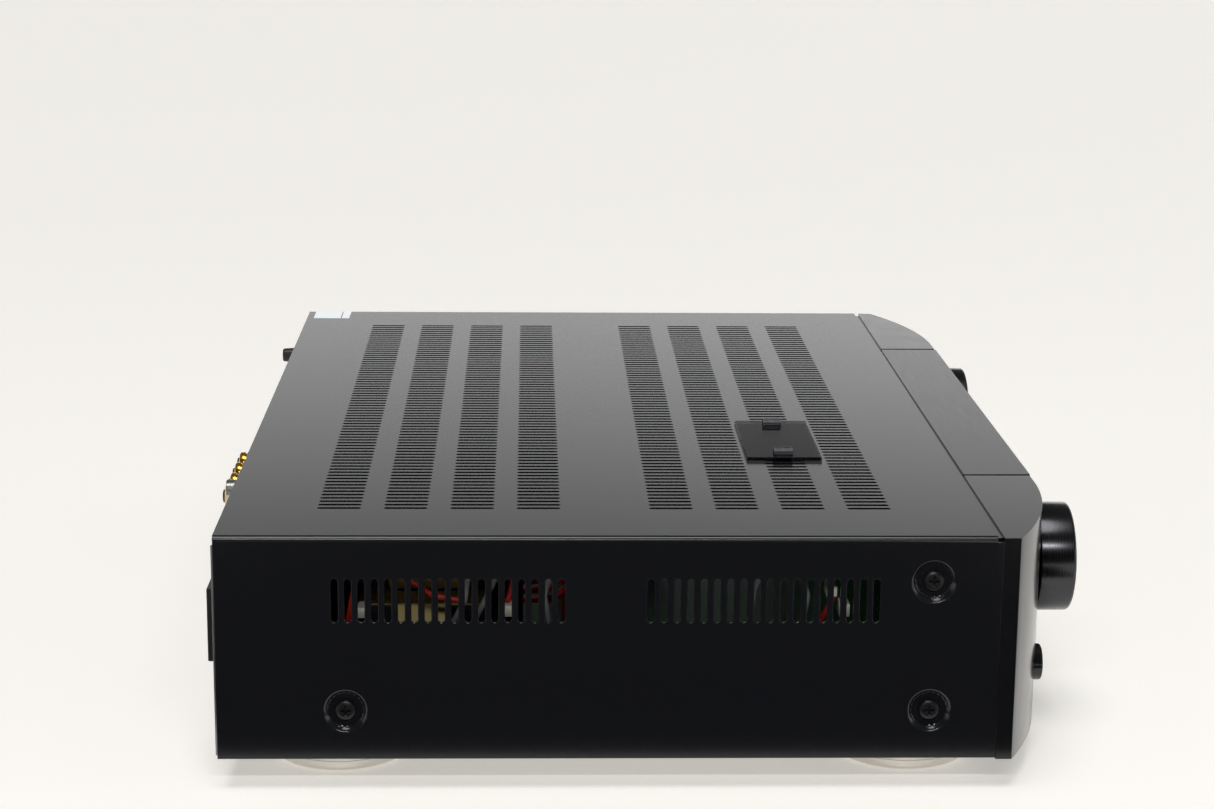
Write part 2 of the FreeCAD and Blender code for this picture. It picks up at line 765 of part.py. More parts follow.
def screw_head_socket(name, x, y, z):
    """Hexagonal recess in a screw head on the cover's left or right side."""
    prism = doc.addObject("Part::Prism", name)
    prism.Polygon = 6
    bind(prism, "Circumradius", 2.3)
    bind(prism, "Height", 4)
    place(prism, x, y, z, rotation=ALONG_X)
    return prism


def make_side_screws():
    """Button-head screws in the dished seats."""
    screws = []
    seat = half_width - dim("dish_depth")
    head = [(0, -2), (2.6, -2), (3.85, -0.9, 2.4, 1), (3.85, 0), (1.95, 0), (1.95, 9), (0, 9)]
    for number, (behind, height) in enumerate(screw_places()):
        for side, turn in ((-1, ALONG_X), (1, AGAINST_X)):
            y, z = front_y + behind, floor_z + height
            blank = turned(f"side_screw_{number}_{side + 1}", head, seat * side, y, z, rotation=turn)
            outside = (half_width + 2.8) * side - 2
            socket = screw_head_socket(f"side_socket_{number}_{side + 1}", outside, y, z)
            screws.append(cut(f"side_fastener_{number}_{side + 1}", blank, [socket]))
    return keep("side_cover_screws", group("side_screws", screws))


def rear_screw_places():
    return [as_size(value) for value in (-150, -75, 75, 150)]


def make_rear_screws():
    """Pan-head screws along the lower edge of the rear panel."""
    screws = []
    profile = [(0, -1.8), (2.2, -1.8), (3, -1.1), (3, 0), (1.5, 0), (1.5, 6), (0, 6)]
    back = FreeCAD.Rotation(Vector(1, 0, 0), 90)
    for number, x in enumerate(rear_screw_places()):
        screws.append(turned(f"rear_fastener_{number}", profile, x, panel_out, pan_z + 8, rotation=back))
    return keep("rear_panel_screws", group("rear_screws", screws))


# ---------------------------------------------------------------- rear connectors


def post_places():
    return [dim("post_first") + dim("post_pitch") * number for number in range(4)]


def make_speaker_posts():
    """Four binding posts: insulating base, studs, turning caps and their end plugs."""
    z, r, bore = dim("post_z"), dim("post_radius"), dim("post_bore")
    low, high = dim("post_first") - 12, dim("post_first") + dim("post_pitch") * 3 + 12
    base = box("post_base_block", (low, high), (panel_out, panel_out + 2.4), (z - 12, z + 12))
    holes = [rod(f"post_base_hole_{number}", bore, "Y", x, (panel_out - 1, panel_out + 3), z)
             for number, x in enumerate(post_places())]
    keep("post_base", cut("post_base_plate", base, holes))
    studs = []
    end = rear_y + dim("post_reach")
    cap_front = panel_out + 3.2
    length = end - 1.2 - cap_front
    cap = [(bore, 0), (r - 0.6, 0), (r, 0.6), (r, length - 0.8), (r - 0.8, length),
           (bore + 0.3, length), (bore + 0.3, length - 3.2), (bore, length - 3.2)]
    plug = [(0, 0), (bore, 0), (bore, 3.6), (bore - 0.4, 4), (0, 4)]
    for number, x in enumerate(post_places(), start=1):
        studs.append(rod(f"post_stud_{number}", bore - 0.4, "Y", x, (panel_in - 8, panel_out + 9), z))
        keep(f"post_cap_{number}", turned(f"post_cap_{number}_body", cap, x, cap_front, z))
        keep(f"post_plug_{number}", turned(f"post_plug_{number}_body", plug, x, end - 4, z))
    return keep("post_studs", group("post_stud_set", studs))


def make_ground_terminal():
    x, z, r = dim("ground_x"), dim("ground_z"), dim("ground_radius")
    keep("ground_stud", rod("ground_stud_rod", 1.95, "Y", x, (panel_in - 6, panel_out + 6), z))
    washer = [(2.3, 0), (r + 0.8, 0), (r + 0.8, 0.9), (2.3, 0.9)]
    keep("ground_washer", turned("ground_washer_body", washer, x, panel_out + 0.4, z))
    knob = [(2.3, 0), (r - 0.4, 0), (r, 0.6), (r - 0.5, 8.9), (r - 1, 9.5), (0, 9.5), (0, 8.3), (2.3, 8.3)]
    keep("ground_knob", turned("ground_knob_body", knob, x, panel_out + 1.6, z))


def jack_places():
    places = []
    for column in range(6):
        for row in range(2):
            places.append((dim("jack_first") + dim("jack_pitch") * column,
                           dim("jack_low") + dim("jack_row") * row))
    return places


def make_phono_jacks():
    """Twelve phono sockets in a moulded plate."""
    r = dim("jack_radius")
    last = dim("jack_first") + dim("jack_pitch") * 5
    plate = box("jack_plate_block", (dim("jack_first") - 9, last + 9), (panel_out, panel_out + 1.8),
                (dim("jack_low") - 9, dim("jack_low") + dim("jack_row") + 9))
    holes = []
    jacks = []
    profile = [(1.6, 0), (1.6, 6), (3.3, 6), (3.3, 14), (r, 14), (r, 5.2), (5.6, 5.2), (5.6, -8),
               (0, -8), (0, -4), (1.6, -4)]
    for number, (x, z) in enumerate(jack_places()):
        holes.append(rod(f"jack_plate_hole_{number}", 5.8, "Y", x, (panel_out - 1, panel_out + 3), z))
        jacks.append(turned(f"jack_{number}", profile, x, panel_out - 2, z))
    keep("jack_plate", cut("jack_plate_moulding", plate, holes))
    return keep("phono_jacks", group("jack_set", jacks))


def make_tuner_module():
    """Screened tuner box with its threaded aerial socket."""
    x, z = dim("antenna_x"), dim("antenna_z")
    can = box("tuner_can", (x - 24, x + 24), (panel_in - 46, panel_in), (z - 12, z + 11))
    profile = [(0.8, 10), (4.75, 10), (4.75, 1.2), (6.5, 1.2), (6.5, 0), (5, 0), (5, -3), (0, -3),
               (0, 2), (0.8, 2)]
    socket = turned("tuner_socket", profile, x, panel_out, z)
    return keep("tuner_module", fuse("tuner", [can, socket]))


def make_mains_inlet():
    """Two-pole mains inlet: flange, housing, hollow and blades."""
    x, z = dim("inlet_x"), dim("inlet_z")
    wide, tall = dim("inlet_width") / 2, dim("inlet_height") / 2
    front = rear_y + dim("inlet_reach")
    back = panel_out - 13
    flange = box("inlet_flange", (x - wide, x + wide), (panel_out, front), (z - tall, z + tall))
    house = box("inlet_house", (x - wide + 1.6, x + wide - 1.6), (back - 2, panel_out),
                (z - tall + 1.6, z + tall - 1.6))
    hollow = box("inlet_hollow", (x - 8.3, x + 8.3), (back, front + 1), (z - 12, z + 12))
    shell = cut("inlet_shell", fuse("inlet_block", [flange, house]), [hollow])
    blades = [box(f"inlet_blade_{number}", (x - 2, x + 2), (back - 6, front - 2),
                  (z + shift - 1, z + shift + 1)) for number, shift in enumerate((-7, 7))]
    return keep("mains_inlet", fuse("inlet", [shell, *blades]))


# ---------------------------------------------------------------- inside


def make_transformer():
    """Laminated core with its taped winding, on the left behind the side slots."""
    x, y = dim("transformer_x"), dim("transformer_y")
    length, height, stack = dim("core_length"), dim("core_height"), dim("core_stack")
    low = pan_top + 2
    half, deep = length / 2, stack / 2
    core = box("core_block", (x - deep, x + deep), (y - half, y + half), (low, low + height))
    windows = []
    for number, side in enumerate((-1, 1)):
        centre = y + half * side / 2
        windows.append(box(f"core_window_{number}", (x - deep - 1, x + deep + 1),
                           (centre - 7, centre + 7), (low + 11, low + height - 11)))
    ears = [box(f"core_ear_{number}", (x - deep, x + deep), (end - 6, end + 6), (pan_top, low))
            for number, end in enumerate((y - half + 18, y + half - 18))]
    keep("transformer_core", fuse("core_stand", [cut("core", core, windows), *ears]))
    coil = box("coil_block", (x - deep - 15, x + deep + 15), (y - 25.5, y + 25.5),
               (low + 11.3, low + height - 11.3))
    limb = box("coil_limb", (x - deep - 0.3, x + deep + 0.3), (y - 12.3, y + 12.3), (low, low + height))
    return keep("transformer_winding", cut("coil", coil, [limb]))


def make_heatsink():
    """Finned aluminium heat sink across the middle with its output transistors."""
    low, high = dim("board_z") + 8, top_z - 8
    web = box("sink_web", (-72, 72), (-14, -8), (low, high))
    fins = [box(f"sink_fin_{number}", (-72 + 7.9 * number, -70.4 + 7.9 * number), (-8, 26), (low, high))
            for number in range(19)]
    feet = [box(f"sink_foot_{number}", (x, x + 8), (-14, -8), (dim("board_z") + dim("board_sheet"), low))
            for number, x in enumerate((-72, 64))]
    keep("heatsink", fuse("sink", [web, *fins, *feet]))
    cases = []
    for number in range(4):
        x = -54 + 36 * number
        cases.append(box(f"transistor_{number}", (x - 8, x + 8), (-19, -14), (low + 6, low + 26)))
    return keep("output_transistors", group("transistors", cases))


def make_main_board():
    z, t = dim("board_z"), dim("board_sheet")
    card = box("main_card", (-112, 200), (-118, 142), (z, z + t))
    stands = []
    for number, (x, y) in enumerate(((-104, -110), (192, -110), (-104, 134), (192, 134), (44, 12))):
        stands.append(rod(f"board_stand_{number}", 4, "Z", x, y, (pan_top, z)))
    return keep("main_board", fuse("board", [card, *stands]))


def make_capacitors():
    """Pair of reservoir capacitors on the main board."""
    low = dim("board_z") + dim("board_sheet")
    cans = [rod(f"capacitor_{number}", 17.5, "Z", 100 + 42 * number, 20, (low, low + 52))
            for number in range(2)]
    return keep("reservoir_capacitors", group("capacitors", cans))


def lead_path(points, radius):
    """Straight runs through the points with a tangent arc at each inner one."""
    edges = []
    start = points[0]
    for index in range(1, len(points) - 1):
        corner = points[index]
        into = (corner - points[index - 1]).normalize()
        out = (points[index + 1] - corner).normalize()
        half = into.getAngle(out) / 2
        reach = radius * math.tan(half)
        first, last = corner - into * reach, corner + out * reach
        bisector = (out - into).normalize()
        middle = corner + bisector * (radius / math.cos(half) - radius)
        edges.append(Part.LineSegment(start, first).toShape())
        edges.append(Part.Arc(first, middle, last).toShape())
        start = last
    edges.append(Part.LineSegment(start, points[-1]).toShape())
    return Part.Wire(edges)


def make_leads():
    """Transformer leads, from the winding's front to the main board."""
    radius = 1.6
    leads = []
    front = dim("transformer_y").value - 25.5
    first_x = dim("transformer_x").value + dim("core_stack").value / 2 + 2.5
    board_top = dim("board_z").value + dim("board_sheet").value
    for number in range(4):
        x = first_x + 3.5 * number
        z = 62.0 - 5 * number
        down = front - 16 - 3 * number
        landing = -104.0 + 6 * number
        points = [Vector(x, front, z), Vector(x, down, z), Vector(landing, down - 14, z),
                  Vector(landing, down - 14, board_top)]
        path = lead_path(points, 8)
        first = Part.Wire(Part.makeCircle(radius, points[0], Vector(0, 1, 0)))
        leads.append(path.makePipeShell([first], True, False))
    bundle = doc.addObject("Part::Feature", "leads")
    bundle.Shape = Part.makeCompound(leads)
    return keep("transformer_leads", bundle)


# ---------------------------------------------------------------- fittings on top of the cover


def make_clip_plate():
    """Thin plate over the vents, held by two spring clips."""
    low, high = dim("clip_left"), dim("clip_left") + dim("clip_width")
    y = (front_y + dim("clip_front"), front_y + dim("clip_front") + dim("clip_depth"))
    keep("clip_plate", box("clip_sheet_block", (low, high), y, (top_z, top_z + dim("clip_sheet"))))
    middle = front_y + dim("clip_front") + dim("clip_depth") / 2
    span = (middle - dim("clip_length") / 2, middle + dim("clip_length") / 2)
    seat = top_z + dim("clip_sheet")
    arch_z = seat + dim("clip_foot")
    clips = []
    for number, x in enumerate((low + dim("clip_inset"), high - dim("clip_inset"))):
        base = box(f"clip_base_{number}", (x - 3, x + 3), span, (seat, arch_z))
        arch = box(f"clip_arch_{number}", (x - 1.6, x + 1.6), span, (arch_z, seat + dim("clip_rise")))
        clips.append(fuse(f"clip_{number}", [base, arch]))
    return keep("spring_clips", group("clips", clips))


def make_corner_label():
    x = (half_width - dim("label_width"), half_width - dim("bend_radius"))
    y = (rear_y - 3.5 - dim("label_depth"), rear_y - 3.5)
    return keep("corner_label", box("label", x, y, (top_z, top_z + dim("label_sheet"))))


# ---------------------------------------------------------------- assembly


def make_all():
    make_top_cover()
    make_base_pan()
    make_front_chassis()
    make_rear_panel()
    keep("fascia_left_end", make_end("left_end", -1))
    keep("fascia_right_end", make_end("right_end", 1))
    make_center()
    make_display()
    make_big_knob("selector", -1, "selector_switch")
    make_big_knob("volume", 1, "volume_control")
    make_tone_knobs()
    make_control_board()
    make_buttons()
    make_power_button()
    make_headphone_jack()
    make_feet()
    make_side_screws()
    make_rear_screws()
    make_speaker_posts()
    make_ground_terminal()
    make_phono_jacks()
    make_tuner_module()
    make_mains_inlet()
    make_transformer()
    make_heatsink()
    make_main_board()
    make_capacitors()
    make_leads()
    make_clip_plate()
    make_corner_label()


def check_and_write():
    doc.recompute()
    failed = [item.Name for item in doc.Objects if {"Invalid", "Error"} & set(item.State)]
    if failed:
        raise RuntimeError(f"objects that failed: {failed}")
    for node, piece in nodes.items():
        shape = piece.Shape
        if shape.isNull() or not shape.isValid() or not shape.Solids:
            raise RuntimeError(f"{node} has no valid solid")
    for node, piece in nodes.items():
        piece.Shape.exportStep(f"parts/{node}.step")
        print(f"{node:22s} solids {len(piece.Shape.Solids):3d}  volume {piece.Shape.Volume:12.1f}")
    print(len(nodes), "nodes")


make_all()
check_and_write()
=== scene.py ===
import bmesh
import bpy
import json
import math
from mathutils import Matrix, Vector


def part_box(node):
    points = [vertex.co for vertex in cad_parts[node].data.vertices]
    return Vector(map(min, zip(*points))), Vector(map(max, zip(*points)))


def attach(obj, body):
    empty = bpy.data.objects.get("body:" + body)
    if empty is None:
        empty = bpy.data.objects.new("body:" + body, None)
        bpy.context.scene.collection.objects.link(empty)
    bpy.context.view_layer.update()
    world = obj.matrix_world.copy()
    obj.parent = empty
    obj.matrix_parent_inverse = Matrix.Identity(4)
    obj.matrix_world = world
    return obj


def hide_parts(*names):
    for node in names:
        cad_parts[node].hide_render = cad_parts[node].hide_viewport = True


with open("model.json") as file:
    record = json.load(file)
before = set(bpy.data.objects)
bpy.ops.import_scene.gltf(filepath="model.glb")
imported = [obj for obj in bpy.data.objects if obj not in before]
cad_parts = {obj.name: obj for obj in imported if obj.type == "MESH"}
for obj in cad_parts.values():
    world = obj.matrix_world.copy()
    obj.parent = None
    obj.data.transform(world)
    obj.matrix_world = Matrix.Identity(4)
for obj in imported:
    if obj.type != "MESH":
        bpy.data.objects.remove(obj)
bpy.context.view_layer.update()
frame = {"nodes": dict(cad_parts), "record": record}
mm = 0.001
nodes = frame["nodes"]
slotOf = {part["node"]: part["material_slot"] for part in frame["record"]["subparts"]}
bodyOf = {node: body for body, members in frame["record"]["behaviour"]["bodies"].items() for node in members}
print("frame loaded:", len(nodes), "nodes")


def linear(hexText):
    channels = [int(hexText[i:i + 2], 16) / 255 for i in (1, 3, 5)]
    return tuple(c / 12.92 if c <= 0.04045 else ((c + 0.055) / 1.055) ** 2.4 for c in channels) + (1.0,)


def addNode(tree, kind, inputs=None, stops=None, **settings):
    node = tree.nodes.new(kind)
    for name, value in settings.items():
        setattr(node, name, value)
    for name, value in (inputs or {}).items():
        if isinstance(value, bpy.types.NodeSocket):
            tree.links.new(value, node.inputs[name])
        else:
            node.inputs[name].default_value = value
    for count, (position, colour) in enumerate(stops or []):  # a ramp's colours
        if count > 1:
            node.color_ramp.elements.new(position)
        node.color_ramp.elements[count].position = position
        node.color_ramp.elements[count].color = linear(colour)
    return node


# camera, light and floor

studio = {
    "cameraPlace": (-1136.2, 44.5, 362.8),  # mm
    "cameraTurn": -1.83,                    # degrees, from looking along +X
    "cameraPitch": 13.04,                   # degrees down
    "cameraRoll": 0.55,
    "lens": 75.8,                           # mm
    "sensorWidth": 36.0,
    "floorColour": "#F4F1EC",
    "floorRoughness": 0.5,
    "floorSize": 14.0,                      # m
    "floorGlow": 0.42,                      # light that the floor gives off itself
    "horizonGlow": 1.15,
    "horizonBand": (0.17, 0.32),            # how high the horizon's light reaches, as a part of straight up
    "frontGlow": 1.6,                       # times the horizon, towards the front
    "frontBand": (-0.8, 0.0),
    "ceilingGlow": 0.1,
    "roomGlow": 0.02,                       # the unlit room on the -X side
    "roomBand": (-0.75, -0.1),
    "lampStrength": 1.2,
    "lampTilt": (-4.0, -9.0),               # degrees about X and Y
    "lampAngle": 30.0,                      # degrees across: a wide soft lamp overhead
    "matHeight": 0.4,                       # mm above the floor, for the black mat
    "matGap": 36.0,                         # mm from the cover's side to the mat
    "matDepth": 700.0,
    "matFront": 110.0,                      # mm that the mat reaches past the cover
    "matRear": 90.0,
    "stripPower": 9.0,                      # W: a narrow strip lamp above the camera
    "stripSize": (900.0, 70.0),
    "stripPlace": (-1480.0, 0.0, 1080.0),
}


def makeCamera():
    turn = math.radians(studio["cameraTurn"] - 90)
    pitch = math.radians(90 - studio["cameraPitch"])
    roll = math.radians(studio["cameraRoll"])
    camera = bpy.data.objects.new("studioCamera", bpy.data.cameras.new("studioCamera"))
    place = Matrix.Translation(Vector(studio["cameraPlace"]) * mm)
    camera.matrix_world = place @ Matrix.Rotation(turn, 4, "Z") @ Matrix.Rotation(pitch, 4, "X") @ \
        Matrix.Rotation(roll, 4, "Z")
    camera.data.lens = studio["lens"]
    camera.data.sensor_width = studio["sensorWidth"]
    camera.data.clip_start = 0.01
    bpy.context.scene.collection.objects.link(camera)
    bpy.context.scene.camera = camera


def makeWorld():
    world = bpy.data.worlds.new("studio")
    world.use_nodes = True
    bpy.context.scene.world = world
    tree = world.node_tree
    tree.nodes.clear()
    way = addNode(tree, "ShaderNodeTexCoord")
    parts = addNode(tree, "ShaderNodeSeparateXYZ", {"Vector": way.outputs["Generated"]})
    low, high = studio["horizonBand"]
    height = addNode(tree, "ShaderNodeMapRange", {
        "Value": parts.outputs["Z"], "From Min": low, "From Max": high,
        "To Min": studio["horizonGlow"], "To Max": studio["ceilingGlow"]})
    low, high = studio["roomBand"]
    side = addNode(tree, "ShaderNodeMapRange", {
        "Value": parts.outputs["X"], "From Min": low, "From Max": high,
        "To Min": studio["roomGlow"], "To Max": 1.0}, interpolation_type="SMOOTHSTEP")
    low, high = studio["frontBand"]
    front = addNode(tree, "ShaderNodeMapRange", {
        "Value": parts.outputs["Y"], "From Min": low, "From Max": high,
        "To Min": studio["frontGlow"], "To Max": 1.0})
    both = addNode(tree, "ShaderNodeMath", {0: height.outputs["Result"], 1: side.outputs["Result"]},
                   operation="MULTIPLY")
    glow = addNode(tree, "ShaderNodeMath", {0: both.outputs[0], 1: front.outputs["Result"]},
                   operation="MULTIPLY")
    background = addNode(tree, "ShaderNodeBackground", {"Color": linear("#FFFFFF"),
                                                        "Strength": glow.outputs[0]})
    addNode(tree, "ShaderNodeOutputWorld", {"Surface": background.outputs[0]})


def makeSheet(name, material, low, high):
    bm = bmesh.new()
    bmesh.ops.create_grid(bm, x_segments=1, y_segments=1, size=0.5)
    bmesh.ops.scale(bm, vec=Vector(high) - Vector(low), verts=bm.verts[:])
    bmesh.ops.translate(bm, vec=(Vector(low) + Vector(high)) / 2, verts=bm.verts[:])
    mesh = bpy.data.meshes.new(name)
    bm.to_mesh(mesh)
    bm.free()
    mesh.materials.append(material)
    sheet = bpy.data.objects.new(name, mesh)
    bpy.context.scene.collection.objects.link(sheet)
    return sheet


def makeFloor():
    half = studio["floorSize"] / 2
    material = bpy.data.materials.new("paleLaminate")
    material.use_nodes = True
    shader = material.node_tree.nodes["Principled BSDF"]
    shader.inputs["Base Color"].default_value = linear(studio["floorColour"])
    shader.inputs["Roughness"].default_value = studio["floorRoughness"]
    shader.inputs["Emission Color"].default_value = linear(studio["floorColour"])
    shader.inputs["Emission Strength"].default_value = studio["floorGlow"]
    makeSheet("floor", material, (-half, -half, 0), (half, half, 0))


def makeMat():
    # a black mat on the floor, seen only in reflections, keeps the painted side dark
    low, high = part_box("top_cover")
    material = bpy.data.materials.new("blackMat")
    material.use_nodes = True
    shader = material.node_tree.nodes["Principled BSDF"]
    shader.inputs["Base Color"].default_value = linear("#050505")
    shader.inputs["Roughness"].default_value = 1.0
    shader.inputs["Specular IOR Level"].default_value = 0.0
    near, level = low.x - studio["matGap"] * mm, studio["matHeight"] * mm
    far = near - studio["matDepth"] * mm
    front, rear = low.y - studio["matFront"] * mm, high.y + studio["matRear"] * mm
    mat = makeSheet("blackMat", material, (far, front, level), (near, rear, level))
    mat.visible_camera = False
    mat.visible_diffuse = False
    mat.visible_shadow = False
    mat.visible_transmission = False


def makeLamps():
    lamp = bpy.data.lights.new("overheadLamp", "SUN")
    lamp.energy = studio["lampStrength"]
    lamp.angle = math.radians(studio["lampAngle"])
    hung = bpy.data.objects.new("overheadLamp", lamp)
    hung.rotation_euler = (*(math.radians(tilt) for tilt in studio["lampTilt"]), 0)
    bpy.context.scene.collection.objects.link(hung)
    strip = bpy.data.lights.new("stripLamp", "AREA")
    strip.shape = "RECTANGLE"
    strip.size, strip.size_y = (side * mm for side in studio["stripSize"])
    strip.energy = studio["stripPower"]
    place = Vector(studio["stripPlace"]) * mm
    hung = bpy.data.objects.new("stripLamp", strip)
    hung.matrix_world = Matrix.Translation(place) @ (-place).to_track_quat("-Z", "Y").to_matrix().to_4x4()
    bpy.context.scene.collection.objects.link(hung)


makeCamera()
makeWorld()
makeFloor()
makeMat()
makeLamps()
bpy.context.scene.view_settings.view_transform = "Standard"
print("studio ready")


# materials, each named for the real one

materials = {}
patternSpan = (0.3, 0.7)  # where a noise pattern's values lie
dust = {"spacing": 8.0, "size": 0.028, "share": 0.16}  # mm apart, part of a cell, share of cells with one
turnedWay = 0.25          # a quarter turn: the highlight runs along the axis


def newMaterial(name, colour, roughness, **sockets):
    material = bpy.data.materials.new(name)
    material.use_nodes = True
    tree = material.node_tree
    shader = tree.nodes["Principled BSDF"]
    shader.inputs["Base Color"].default_value = linear(colour)
    shader.inputs["Roughness"].default_value = roughness
    for socket, value in sockets.items():
        shader.inputs[socket.replace("_", " ")].default_value = value
    materials[name] = material
    place = addNode(tree, "ShaderNodeTexCoord")
    return tree, shader, place.outputs["Object"]


def perMetre(millimetres):
    return 1000 / millimetres  # a pattern scale whose features are this many mm apart


def wearSurface(tree, shader, height, relief, low, high):
    # the same pattern lifts the surface by relief mm and spreads its roughness from low to high
    bump = addNode(tree, "ShaderNodeBump", {"Height": height, "Strength": 1.0, "Distance": relief * mm})
    tree.links.new(bump.outputs["Normal"], shader.inputs["Normal"])
    least, most = patternSpan
    spread = addNode(tree, "ShaderNodeMapRange", {"Value": height, "From Min": least, "From Max": most,
                                                  "To Min": low, "To Max": high})
    tree.links.new(spread.outputs["Result"], shader.inputs["Roughness"])


def makePowderCoat():
    # satin powder coat on steel: near black, a fine even texture and a few settled dust specks
    tree, shader, place = newMaterial("satinPowderCoat", "#141519", 0.17)
    grain = addNode(tree, "ShaderNodeTexNoise", {"Vector": place, "Scale": perMetre(1.5), "Detail": 2.0})
    wearSurface(tree, shader, grain.outputs["Fac"], 0.002, 0.15, 0.19)
    cells = addNode(tree, "ShaderNodeTexVoronoi", {"Vector": place, "Scale": perMetre(dust["spacing"])})
    speck = addNode(tree, "ShaderNodeMath", {0: cells.outputs["Distance"], 1: dust["size"]},
                    operation="LESS_THAN")
    picked = addNode(tree, "ShaderNodeSeparateColor", {"Color": cells.outputs["Color"]})
    rare = addNode(tree, "ShaderNodeMath", {0: picked.outputs["Red"], 1: dust["share"]},
                   operation="LESS_THAN")
    both = addNode(tree, "ShaderNodeMath", {0: speck.outputs[0], 1: rare.outputs[0]}, operation="MULTIPLY")
    tint = addNode(tree, "ShaderNodeValToRGB", {"Fac": both.outputs[0]},
                   stops=[(0.0, "#141519"), (1.0, "#77787A")])
    tree.links.new(tint.outputs["Color"], shader.inputs["Base Color"])


def makePaintedMoulding():
    # painted ABS moulding: smooth satin black, slightly wavy in reflection
    tree, shader, place = newMaterial("paintedMoulding", "#121315", 0.16)
    wave = addNode(tree, "ShaderNodeTexNoise", {"Vector": place, "Scale": perMetre(12), "Detail": 1.0})
    wearSurface(tree, shader, wave.outputs["Fac"], 0.004, 0.14, 0.18)


def makeBrushedPlate():
    # anodised aluminium plate, brushed along its length: fine straight grain in the sheen
    tree, shader, place = newMaterial("brushedBlackAnodise", "#16171A", 0.2, Metallic=0.15)
    drawn = addNode(tree, "ShaderNodeMapping", {"Vector": place, "Scale": (0.02, 1.0, 1.0)})
    grain = addNode(tree, "ShaderNodeTexNoise", {"Vector": drawn.outputs[0], "Scale": perMetre(0.5),
                                                 "Detail": 3.0})
    wearSurface(tree, shader, grain.outputs["Fac"], 0.0015, 0.17, 0.23)


def makeTurned(name, colour, roughness, ringWidth, axis, anisotropy, relief=0.004):
    # lathe-turned metal: fine rings round the axis draw each highlight out along it
    tree, shader, place = newMaterial(name, colour, roughness, Metallic=1.0, Anisotropic=anisotropy,
                                      Anisotropic_Rotation=turnedWay)
    oneWay = tuple(float(i == axis) for i in range(3))
    along = addNode(tree, "ShaderNodeMapping", {"Vector": place, "Scale": oneWay})
    rings = addNode(tree, "ShaderNodeTexNoise", {"Vector": along.outputs[0], "Scale": perMetre(ringWidth),
                                                 "Detail": 4.0, "Roughness": 0.7})
    wearSurface(tree, shader, rings.outputs["Fac"], relief, roughness * 0.8, roughness * 1.2)
    way = addNode(tree, "ShaderNodeTangent", direction_type="RADIAL", axis="XYZ"[axis])
    tree.links.new(way.outputs["Tangent"], shader.inputs["Tangent"])


def makeSheetMetal(name, colour, roughness, size, metallic=1.0):
    # rolled or plated sheet metal: a faint cloudy mottle in its shine
    tree, shader, place = newMaterial(name, colour, roughness, Metallic=metallic)
    grain = addNode(tree, "ShaderNodeTexNoise", {"Vector": place, "Scale": perMetre(size), "Detail": 4.0})
    wearSurface(tree, shader, grain.outputs["Fac"], 0.01, roughness * 0.75, roughness * 1.25)


def makeMoulded(name, colour, shade, roughness, texture, relief=0.01):
    # moulded plastic or rubber: spark-eroded texture, colour drifting a little between two tones
    tree, shader, place = newMaterial(name, colour, roughness)
    grain = addNode(tree, "ShaderNodeTexNoise", {"Vector": place, "Scale": perMetre(texture), "Detail": 2.0})
    wearSurface(tree, shader, grain.outputs["Fac"], relief, roughness * 0.85, roughness * 1.15)
    drift = addNode(tree, "ShaderNodeTexNoise", {"Vector": place, "Scale": perMetre(15), "Detail": 2.0})
    tint = addNode(tree, "ShaderNodeValToRGB", {"Fac": drift.outputs["Fac"]},
                   stops=[(0.3, colour), (0.7, shade)])
    tree.links.new(tint.outputs["Color"], shader.inputs["Base Color"])


def makeBoardMask():
    # solder mask over copper: green with paler tracks on a square grid
    tree, shader, place = newMaterial("solderMask", "#0D2816", 0.35)
    tracks = addNode(tree, "ShaderNodeTexBrick", {"Vector": place, "Scale": perMetre(9), "Mortar Size": 0.03,
                                                  "Color1": linear("#0D2816"), "Color2": linear("#0F2E19"),
                                                  "Mortar": linear("#1A4A2A")})
    tree.links.new(tracks.outputs["Color"], shader.inputs["Base Color"])


def makeTape():
    # polyester tape wound round a coil: overlapped bands with a soft sheen
    tree, shader, place = newMaterial("windingTape", "#D9BE6A", 0.35)
    bands = addNode(tree, "ShaderNodeTexWave", {"Vector": place, "Scale": perMetre(9) / math.tau,
                                                "Distortion": 0.6, "Detail": 1.0}, bands_direction="Z")
    tint = addNode(tree, "ShaderNodeValToRGB", {"Fac": bands.outputs["Fac"]},
                   stops=[(0.0, "#C9A850"), (0.5, "#DFC778"), (1.0, "#E9D794")])
    tree.links.new(tint.outputs["Color"], shader.inputs["Base Color"])
    wearSurface(tree, shader, bands.outputs["Fac"], 0.1, 0.3, 0.4)


def makeLaminations():
    # stack of varnished core plates: thin dark lines along the stack
    tree, shader, place = newMaterial("varnishedLaminations", "#34302C", 0.5, Metallic=0.5)
    lines = addNode(tree, "ShaderNodeTexWave", {"Vector": place, "Scale": perMetre(1.2) / math.tau},
                    bands_direction="X")
    tint = addNode(tree, "ShaderNodeValToRGB", {"Fac": lines.outputs["Fac"]},
                   stops=[(0.0, "#1D1A18"), (1.0, "#4A443E")])
    tree.links.new(tint.outputs["Color"], shader.inputs["Base Color"])
    wearSurface(tree, shader, lines.outputs["Fac"], 0.05, 0.4, 0.6)


def makeSmoked(name, colour, clearness, roughness, **sockets):
    # smoked acrylic: a dark sheet that what lies under it shows through
    tree, shader, place = newMaterial(name, colour, roughness, Transmission_Weight=clearness, **sockets)
    wave = addNode(tree, "ShaderNodeTexNoise", {"Vector": place, "Scale": perMetre(20), "Detail": 0.0})
    wearSurface(tree, shader, wave.outputs["Fac"], 0.01, roughness * 0.8, roughness * 1.2)


